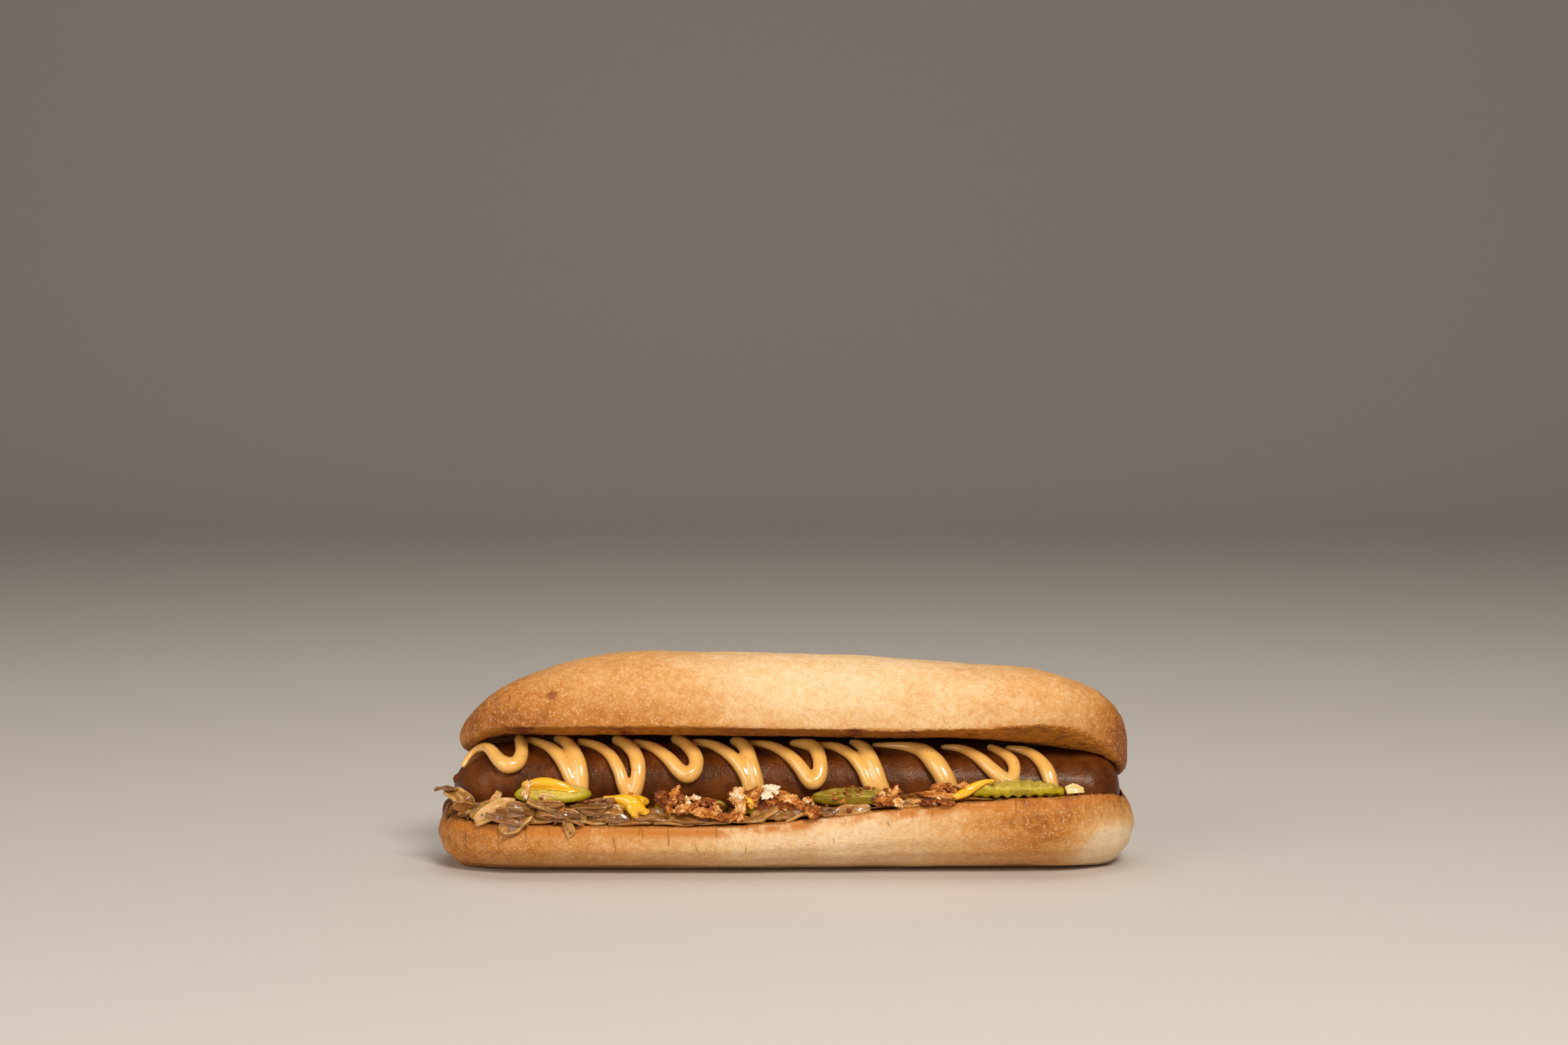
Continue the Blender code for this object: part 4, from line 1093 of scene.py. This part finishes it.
def mustard_share(points, carrier):
    """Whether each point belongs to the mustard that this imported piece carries."""
    inside = np.zeros(len(points), bool)
    for name, middle, half_sizes in MUSTARD:
        if name == carrier:
            centre = np.array(from_lip(middle))
            inside |= np.linalg.norm((points - centre) / (np.array(half_sizes) * MM), axis=1) < 1.16
    for name, anchors in STREAKS:
        if name == carrier:
            for centre, radius in streak_centres(anchors):
                inside |= np.linalg.norm(points - np.array(centre), axis=1) < 1.12 * radius + 0.15 * MM
    return inside


def split_mustard(obj, carrier):
    """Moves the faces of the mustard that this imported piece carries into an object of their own."""
    inside = mustard_share(points_of(obj.data), carrier)
    if not inside.any():
        return
    parts = []
    for keep_inside in (True, False):
        bm = bmesh.new()
        bm.from_mesh(obj.data)
        bm.verts.ensure_lookup_table()
        drop = [f for f in bm.faces if (sum(inside[v.index] for v in f.verts) >= 2) != keep_inside]
        bmesh.ops.delete(bm, geom=drop, context="FACES")
        parts.append(bm)
    mustard = object_from(parts[0], "mustard_" + carrier)
    parts[1].to_mesh(obj.data)
    parts[1].free()
    finish_piece(mustard, "mustard", shared_mustard(), carrier)


class HOTDOG_OT_pickles(Operator):
    """Model the pickle slices and the mustard on the first"""

    bl_idname = "hotdog.pickles"
    bl_label = "Pickles"

    def execute(self, context):
        settings = context.scene.hot_dog_toppings
        material = pickle_material()
        for name, (middle, half_length, half_width, lean, turn, crinkled, tone) in PICKLES.items():
            obj = remeshed(with_streaks(packed(name), name), name + "_slice", settings.voxel, 5)
            split_mustard(obj, name)
            mesh = obj.data
            points = points_of(mesh)
            place = placed(from_lip(middle), lean, 0.0, turn)
            back = np.array(place.inverted())
            local = points @ back[:3, :3].T + back[:3, 3]
            reach = np.hypot(local[:, 0] / (half_length * MM), local[:, 1] / (half_width * MM))
            rim = smoothstep(0.80, 0.94, reach)
            shift = 0.16 * MM * noise_at(points, 2.2 * MM, half_length)
            if crinkled:
                shift += 0.4 * MM * np.sin(local[:, 0] / (0.56 * MM)) * (1.0 - 0.4 * rim)
            set_points(mesh, points + normals_of(mesh) * (shift - 0.2 * MM)[:, None])
            set_attribute(mesh, "rim", rim)
            set_attribute(mesh, "tint", np.full(len(points), tone))
            finish_piece(obj, "pickle", material, name)
        return {"FINISHED"}


def wavy_strip(bm, place, length, width, thickness, curl, seed, tone, ruffled=1.0):
    """A thin strip bent along its length, its two faces alike and veined along it, and painted paler at
    its edges to stand in for light shining through them.
    Returns its points."""
    strip = tinted_bmesh()
    layer = strip.verts.layers.float["tint"]
    bmesh.ops.create_grid(strip, x_segments=20, y_segments=10, size=0.5)
    bmesh.ops.triangulate(strip, faces=strip.faces)
    for vertex in strip.verts:
        along, aside = vertex.co.x, vertex.co.y
        ruffle = noise.noise(Vector((3.0 * along + seed, 2.0 * aside, seed)))
        fold = noise.noise(Vector((7.0 * along - seed, 3.0 * aside, 0.5 * seed)))
        taper = 1.0 - 0.55 * abs(2.0 * along) ** 2.5
        bend = curl * length * (0.25 - along * along)
        vein = noise.noise(Vector((1.6 * along + seed, 13.0 * aside, 0.3 * seed)))
        # the 0.4 * aside * aside term is painted light: paler edges that stand in for light shining
        # through the thin onion
        vertex[layer] = tone - 0.09 + 0.4 * aside * aside + 0.18 * vein + 0.12 * ruffle
        vertex.co = (
            length * along,
            width * aside * taper + 0.12 * width * ruffle,
            bend + ruffled * (0.22 * ruffle + 0.08 * fold) * width + 0.35 * width * aside * aside,
        )
    bmesh.ops.recalc_face_normals(strip, faces=strip.faces)
    everything = list(strip.verts) + list(strip.edges) + list(strip.faces)
    bmesh.ops.solidify(strip, geom=everything, thickness=thickness)
    shift = sum((vertex.co for vertex in strip.verts), Vector()) / len(strip.verts)
    bmesh.ops.translate(strip, vec=-shift, verts=strip.verts)
    strip.transform(place)
    bmesh.ops.recalc_face_normals(strip, faces=strip.faces)
    return add_to(bm, strip)


def add_to(bm, other):
    """Copies another mesh's faces and shades into bm, and returns the new points."""
    layer, own_layer = bm.verts.layers.float["tint"], other.verts.layers.float["tint"]
    copies = {}
    for vertex in other.verts:
        copies[vertex] = bm.verts.new(vertex.co)
        copies[vertex][layer] = vertex[own_layer]
    for face in other.faces:
        bm.faces.new([copies[vertex] for vertex in face.verts])
    other.free()
    return list(copies.values())


def surface_spots(bm, count, draw, wanted):
    """Random (point, normal) spots on the faces that wanted() accepts, in proportion to their areas."""
    faces = [face for face in bm.faces if wanted(face)]
    areas = [face.calc_area() for face in faces]
    spots = []
    for face in draw.choices(faces, areas, k=count):
        corners = [vertex.co for vertex in face.verts]
        a, b = draw.random(), draw.random()
        if a + b > 1.0:
            a, b = 1.0 - a, 1.0 - b
        point = corners[0] + a * (corners[1] - corners[0]) + b * (corners[2] - corners[0])
        spots.append((point, face.normal.copy()))
    return spots


def laid_on(point, normal, along, lift):
    """A frame at the point whose Z is the normal and whose X runs along the given direction."""
    x_axis = (along - along.dot(normal) * normal).normalized()
    y_axis = normal.cross(x_axis)
    turned = Matrix((x_axis, y_axis, normal)).transposed().to_4x4()
    return Matrix.Translation(point + normal * lift) @ turned


def drop_points(bm, points):
    bmesh.ops.delete(bm, geom=points, context="VERTS")


class HOTDOG_OT_soft_onions(Operator):
    """Model the soft onions: their core, the strips over it, the standing petals, and their mustard"""

    bl_idname = "hotdog.soft_onions"
    bl_label = "Soft onions"

    def execute(self, context):
        settings = context.scene.hot_dog_toppings
        material = onion_material()
        core = remeshed(with_streaks(packed("onions"), "onions"), "onion_core", settings.voxel, 4)
        split_mustard(core, "onions")
        mesh = core.data
        points = points_of(mesh)
        shift = 0.35 * MM * (noise_at(points, 2.4 * MM, 1.3) - 0.8)
        set_points(mesh, points + normals_of(mesh) * shift[:, None])
        set_attribute(mesh, "tint", 0.32 + 0.3 * noise_at(points, 6 * MM, 4.2))
        finish_piece(core, "soft_onion", material, "onions")
        bm = tinted_bmesh()
        self.add_petals(bm)
        self.add_strips(bm, settings.strips)
        finish_piece(object_from(bm, "onion_strips"), "soft_onion", material, "onions")
        petal = remeshed(packed("onion_petal"), "onion_petal_thin", 0.3 * MM, 3)
        set_attribute(petal.data, "tint", np.full(len(petal.data.vertices), 1.0))
        finish_piece(petal, "soft_onion", material, "onion_petal")
        return {"FINISHED"}

    def add_petals(self, bm):
        for index, (middle, length, width, thickness, lean, pitch, turn, curl, tone) in enumerate(PETALS):
            place = placed(from_lip(middle), lean, pitch, turn)
            size = (length * MM, width * MM, thickness * MM)
            made = wavy_strip(bm, place, *size, 0.6 * curl, index, tone, ruffled=0.5)
            if not in_box([vertex.co for vertex in made]):
                drop_points(bm, made)

    def add_strips(self, bm, wanted):
        """Lays this many strips over the bed, clear of the mustard and of the other solids."""
        others = trees_of("bun", "sausage", *PICKLES, *HEAPS)
        draw = random.Random(11)
        mustard_middle = next(from_lip(middle) for name, middle, _ in MUSTARD if name == "onions")

        def open_bed(face):
            near = (face.calc_center_median() - mustard_middle).length < 10 * MM
            return face.normal.z - face.normal.y > 0.5 and not near

        bed = packed("onions")
        spots = surface_spots(bed, 3 * wanted, draw, open_bed)
        bed.free()
        kept = 0
        for index, (point, normal) in enumerate(spots):
            if kept >= wanted:
                break
            along = Vector((1.0, draw.uniform(-0.2, 0.2), draw.uniform(-0.28, 0.28)))
            place = laid_on(point, normal, along, draw.uniform(-0.1, 0.5) * MM)
            place = place @ Matrix.Rotation(draw.uniform(-0.6, 0.6), 4, "X")
            size = (draw.uniform(7, 15) * MM, draw.uniform(2.4, 4.6) * MM, draw.uniform(0.6, 0.9) * MM)
            curl, tone = draw.uniform(-0.2, 0.5), draw.uniform(0.15, 0.65)
            made = wavy_strip(bm, place, *size, curl, index + 40, tone)
            shown = [vertex.co for vertex in made]
            if in_box(shown) and clear_of(others, shown[::2]):
                kept += 1
            else:
                drop_points(bm, made)


def add_crumb(bm, place, half_sizes, seed):
    """A rough crumb by its half sizes. Returns its points."""
    made = bmesh.ops.create_icosphere(bm, subdivisions=2, radius=1.0)["verts"]
    for vertex in made:
        unit = vertex.co.copy()
        wave = 1.0 + CRUMB_ROUGHNESS * noise.noise(unit * 1.6 + Vector((seed, 0.0, seed)))
        wave += 0.5 * CRUMB_ROUGHNESS * noise.noise(unit * 4.2 + Vector((0.0, seed, 3.0)))
        bend = 0.35 * half_sizes[0] * unit.x * unit.x
        vertex.co = place @ Vector(
            (
                unit.x * half_sizes[0] * wave,
                unit.y * half_sizes[1] * wave,
                unit.z * half_sizes[2] * wave + bend,
            )
        )
    return made


def add_crisp(bm, entry, seed):
    """A crumb-coated flake with a ragged rim, and the crumbs that stick to it. Returns its points."""
    _, middle, half_length, half_width, half_thickness, lean, pitch, turn, tone = entry
    place = placed(from_lip(middle), lean, pitch, turn)
    half = Vector((half_length, half_width, half_thickness)) * MM
    draw = random.Random(seed)
    drift = Vector((1.3 * seed, 0.7 * seed, 2.1))
    piece = tinted_bmesh()
    layer = piece.verts.layers.float["tint"]
    bmesh.ops.create_icosphere(piece, subdivisions=5, radius=1.0)
    for vertex in piece.verts:
        unit = vertex.co.copy()
        out = Vector((unit.x, unit.y, 0.0))
        teeth = 0.42 * noise.noise(out * 1.7 + drift) + 0.30 * noise.noise(out * 4.6 - drift)
        ragged = 1.0 + out.length * teeth
        body = Vector((unit.x * half.x * ragged, unit.y * half.y * ragged, unit.z * half.z))
        body.z += half.y * (0.5 * unit.y * unit.y + 0.7 * noise.noise(out * 1.4 + 2.0 * drift))
        coat = noise.noise(body / (0.75 * MM) + drift) + 0.6 * noise.noise(body / (0.36 * MM) - drift)
        body += unit * 0.22 * MM * coat
        vertex.co = place @ body
        patch = noise.noise(out * 1.2 - drift)
        rim = float(smoothstep(0.80, 1.0, out.length))
        vertex[layer] = tone + 0.20 * coat + 0.35 * patch - 0.22 * rim
    spots = [vertex.co.copy() for vertex in piece.verts]
    for _ in range(4 + int(1.4 * half_length * half_width)):
        spot = draw.choice(spots)
        size = draw.uniform(0.16, 0.40) * MM
        crumb_sizes = (size, size * draw.uniform(0.6, 1.0), size * draw.uniform(0.5, 0.9))
        crumb = add_crumb(piece, Matrix.Translation(spot), crumb_sizes, draw.uniform(0.0, 90.0))
        tint(piece, crumb, tone + draw.uniform(-0.25, 0.3))
    return add_to(bm, piece)


def open_top(start, end):
    """A test for the faces that look up or out of the gap, between these places along the bun."""

    def wanted(face):
        return start < face.calc_center_median().x < end and face.normal.z - face.normal.y > 0.7

    return wanted


def scattered_crisps(heap, draw):
    """The heap's unlisted pieces, as entries like those in CRISPS."""
    middle, half_sizes, fall, count = HEAPS[heap]
    entries = []
    for _ in range(count):
        along = draw.uniform(-0.95, 0.95)
        up = math.sqrt(1.0 - along * along) * draw.uniform(-0.7, 0.9)
        spot = (
            middle[0] + along * half_sizes[0],
            middle[1] + draw.uniform(1.2, 2.6),
            middle[2] + up * half_sizes[2] - fall * along * half_sizes[0],
        )
        half = (draw.uniform(1.4, 2.8), draw.uniform(0.8, 1.4), draw.uniform(0.45, 0.8))
        turns = (draw.uniform(50, 88), draw.uniform(-80, 80), draw.uniform(-20, 20))
        entries.append((heap, spot, *half, *turns, draw.uniform(0.2, 0.75)))
    return entries


def heap_core(heap, seed):
    """The lump that a heap's pieces lie on."""
    middle, half_sizes, fall, _ = HEAPS[heap]
    bm = bmesh.new()
    bmesh.ops.create_icosphere(bm, subdivisions=4, radius=1.0)
    for vertex in bm.verts:
        wave = 1.0 + 0.5 * noise.noise(vertex.co * 2.2 + Vector((seed, 2.3 * seed, 0.7)))
        vertex.co = Vector([c * wave * size * MM for c, size in zip(vertex.co, half_sizes)])
        vertex.co.z -= fall * vertex.co.x
    bm.transform(Matrix.Translation(from_lip(middle)))
    return bm


def settled(bm, points, trees, steps=9):
    """Moves the points out of the bun's gap until they clear the solids. False if they don't."""
    for _ in range(steps):
        shown = [vertex.co for vertex in points]
        if in_box(shown) and clear_of(trees, shown[::5]):
            return True
        bmesh.ops.translate(bm, vec=(0.0, -0.35 * MM, 0.0), verts=points)
    return False


class HOTDOG_OT_crispy_onions(Operator):
    """Model the heaps of crispy onions: their cores, shards and crumbs"""

    bl_idname = "hotdog.crispy_onions"
    bl_label = "Crispy onions"

    def execute(self, context):
        settings = context.scene.hot_dog_toppings
        material = crispy_material()
        others = trees_of("bun", "sausage", *PICKLES)
        for seed, name in enumerate(HEAPS):
            lump = with_streaks(heap_core(name, seed), name)
            core = remeshed(lump, name + "_core", settings.voxel, 2)
            split_mustard(core, name)
            mesh = core.data
            points = points_of(mesh)
            shift = 0.7 * MM * noise_at(points, 1.8 * MM, seed)
            set_points(mesh, points + normals_of(mesh) * shift[:, None])
            # painted shade: the core is tinted darker than the pieces on it, for the shade deep in the
            # heap
            set_attribute(mesh, "tint", 0.25 + 0.35 * noise_at(points, 3 * MM, 2.2 + seed))
            finish_piece(core, "crispy_onion", material, name)
            listed = [entry for entry in CRISPS if entry[0] == name]
            entries = listed + scattered_crisps(name, random.Random(70 + seed))
            bm = tinted_bmesh()
            for index, entry in enumerate(entries):
                made = add_crisp(bm, entry, index + 11 * seed)
                if not settled(bm, made, others):
                    drop_points(bm, made)
            bmesh.ops.recalc_face_normals(bm, faces=bm.faces)
            loose = object_from(bm, name + "_pieces")
            finish_piece(loose, "crispy_onion", material, name)
        self.loose_pieces(material, others)
        return {"FINISHED"}

    def loose_pieces(self, material, others):
        """The crisps and crumbs that lie on the soft onions and the pickles."""
        bm = tinted_bmesh()
        for index, entry in enumerate(CRISPS):
            if entry[0] == "onions":
                made = add_crisp(bm, entry, index)
                if not settled(bm, made, others):
                    drop_points(bm, made)
        draw = random.Random(5)
        for name, start, end, count, tone in CRUMB_ROWS:
            surface = packed(name)
            spots = surface_spots(surface, count, draw, open_top(start * MM, end * MM))
            surface.free()
            for point, normal in spots:
                size = draw.uniform(0.25, 0.75) * MM
                place = laid_on(point, normal, Vector((1.0, draw.uniform(-1, 1), 0.2)), 0.5 * size)
                half = (size * draw.uniform(1.0, 1.6), size, size * draw.uniform(0.5, 0.9))
                made = add_crumb(bm, place, half, draw.uniform(0.0, 90.0))
                if in_box([vertex.co for vertex in made]):
                    tint(bm, made, tone + draw.uniform(-0.3, 0.35))
                else:
                    drop_points(bm, made)
        bmesh.ops.recalc_face_normals(bm, faces=bm.faces)
        finish_piece(object_from(bm, "loose_crumbs"), "crispy_onion", material)


# ---------------------------------------------------------------- stage


def add_floor():
    """A pale floor that curves up into a wall behind."""
    bm = bmesh.new()
    bmesh.ops.create_grid(bm, x_segments=1, y_segments=60, size=1.0)
    for vertex in bm.verts:
        along = 0.5 * (vertex.co.y + 1.0)
        share = min(max((along - BEND_FROM) / (BEND_TO - BEND_FROM), 0.0), 1.0)
        turned = share * 0.5 * math.pi
        y = mix(FLOOR_FRONT, FLOOR_BACK, min(along / BEND_FROM, 1.0)) + FLOOR_BEND * math.sin(turned)
        above = WALL_HEIGHT * max(along - BEND_TO, 0.0) / (1.0 - BEND_TO)
        vertex.co = (vertex.co.x * FLOOR_HALF_WIDTH, y, FLOOR_BEND * (1.0 - math.cos(turned)) + above)
    floor = object_from(bm, "floor")
    floor.data.materials.append(plain_material("pale_floor", colour(0.60, 0.55, 0.50), 0.7))


def add_light(name, power, size, place, tone):
    data = bpy.data.lights.new(name, "AREA")
    data.shape = "RECTANGLE"
    data.size, data.size_y = size
    data.energy = power
    data.color = tone
    light = bpy.data.objects.new(name, data)
    light.location = place
    light.rotation_euler = (Vector(LIGHTS_AIM) - Vector(place)).to_track_quat("-Z", "Y").to_euler()
    bpy.context.scene.collection.objects.link(light)


class HOTDOG_OT_stage(Operator):
    """Set up the floor, the soft lights and the camera"""

    bl_idname = "hotdog.stage"
    bl_label = "Stage"

    def execute(self, context):
        settings = context.scene.hot_dog_stage
        scene = context.scene
        add_floor()
        add_light("key", settings.key, (0.34, 0.26), (0.34, -0.95, 0.80), (1.0, 0.96, 0.90))
        add_light("fill", settings.fill, (0.9, 0.7), (-0.75, -0.85, 0.40), (1.0, 0.97, 0.93))
        add_light("top", settings.top, (0.9, 0.6), (0.05, 0.15, 1.05), (1.0, 0.97, 0.92))
        world = bpy.data.worlds.new("studio")
        world.use_nodes = True
        back = world.node_tree.nodes["Background"].inputs
        back["Color"].default_value = colour(1.0, 0.96, 0.92)
        back["Strength"].default_value = 0.15
        scene.world = world
        data = bpy.data.cameras.new("camera")
        data.lens = settings.lens
        data.sensor_width = 36.0
        camera = bpy.data.objects.new("camera", data)
        camera.location = CAMERA_PLACE
        camera.rotation_euler = (math.radians(90.0 - CAMERA_DOWN), 0.0, 0.0)
        scene.collection.objects.link(camera)
        scene.camera = camera
        scene.view_settings.view_transform = "Standard"
        return {"FINISHED"}


class HOTDOG_PT_panel(Panel):
    """Lists the hot dog's pieces"""

    bl_label = "Hot dog"
    bl_idname = "HOTDOG_PT_panel"
    bl_space_type = "VIEW_3D"
    bl_region_type = "UI"
    bl_category = "Hot dog"

    def draw(self, context):
        for operator in OPERATORS:
            self.layout.operator(operator.bl_idname)


SETTINGS = {
    "hot_dog_bun": BunSettings,
    "hot_dog_sausage": SausageSettings,
    "hot_dog_sauce": SauceSettings,
    "hot_dog_toppings": ToppingSettings,
    "hot_dog_stage": StageSettings,
}
OPERATORS = (
    HOTDOG_OT_bun,
    HOTDOG_OT_sausage,
    HOTDOG_OT_sauce,
    HOTDOG_OT_pickles,
    HOTDOG_OT_soft_onions,
    HOTDOG_OT_crispy_onions,
    HOTDOG_OT_stage,
)
CLASSES = (*SETTINGS.values(), *OPERATORS, HOTDOG_PT_panel)


def register():
    for cls in CLASSES:
        bpy.utils.register_class(cls)
    for name, cls in SETTINGS.items():
        setattr(bpy.types.Scene, name, PointerProperty(type=cls))


def unregister():
    for name in SETTINGS:
        delattr(bpy.types.Scene, name)
    for cls in reversed(CLASSES):
        bpy.utils.unregister_class(cls)


def main():
    register()
    bpy.ops.hotdog.bun()
    bpy.ops.hotdog.sausage()
    bpy.ops.hotdog.sauce()
    bpy.ops.hotdog.pickles()
    bpy.ops.hotdog.soft_onions()
    bpy.ops.hotdog.crispy_onions()
    bpy.ops.hotdog.stage()


if __name__ == "__main__":
    main()
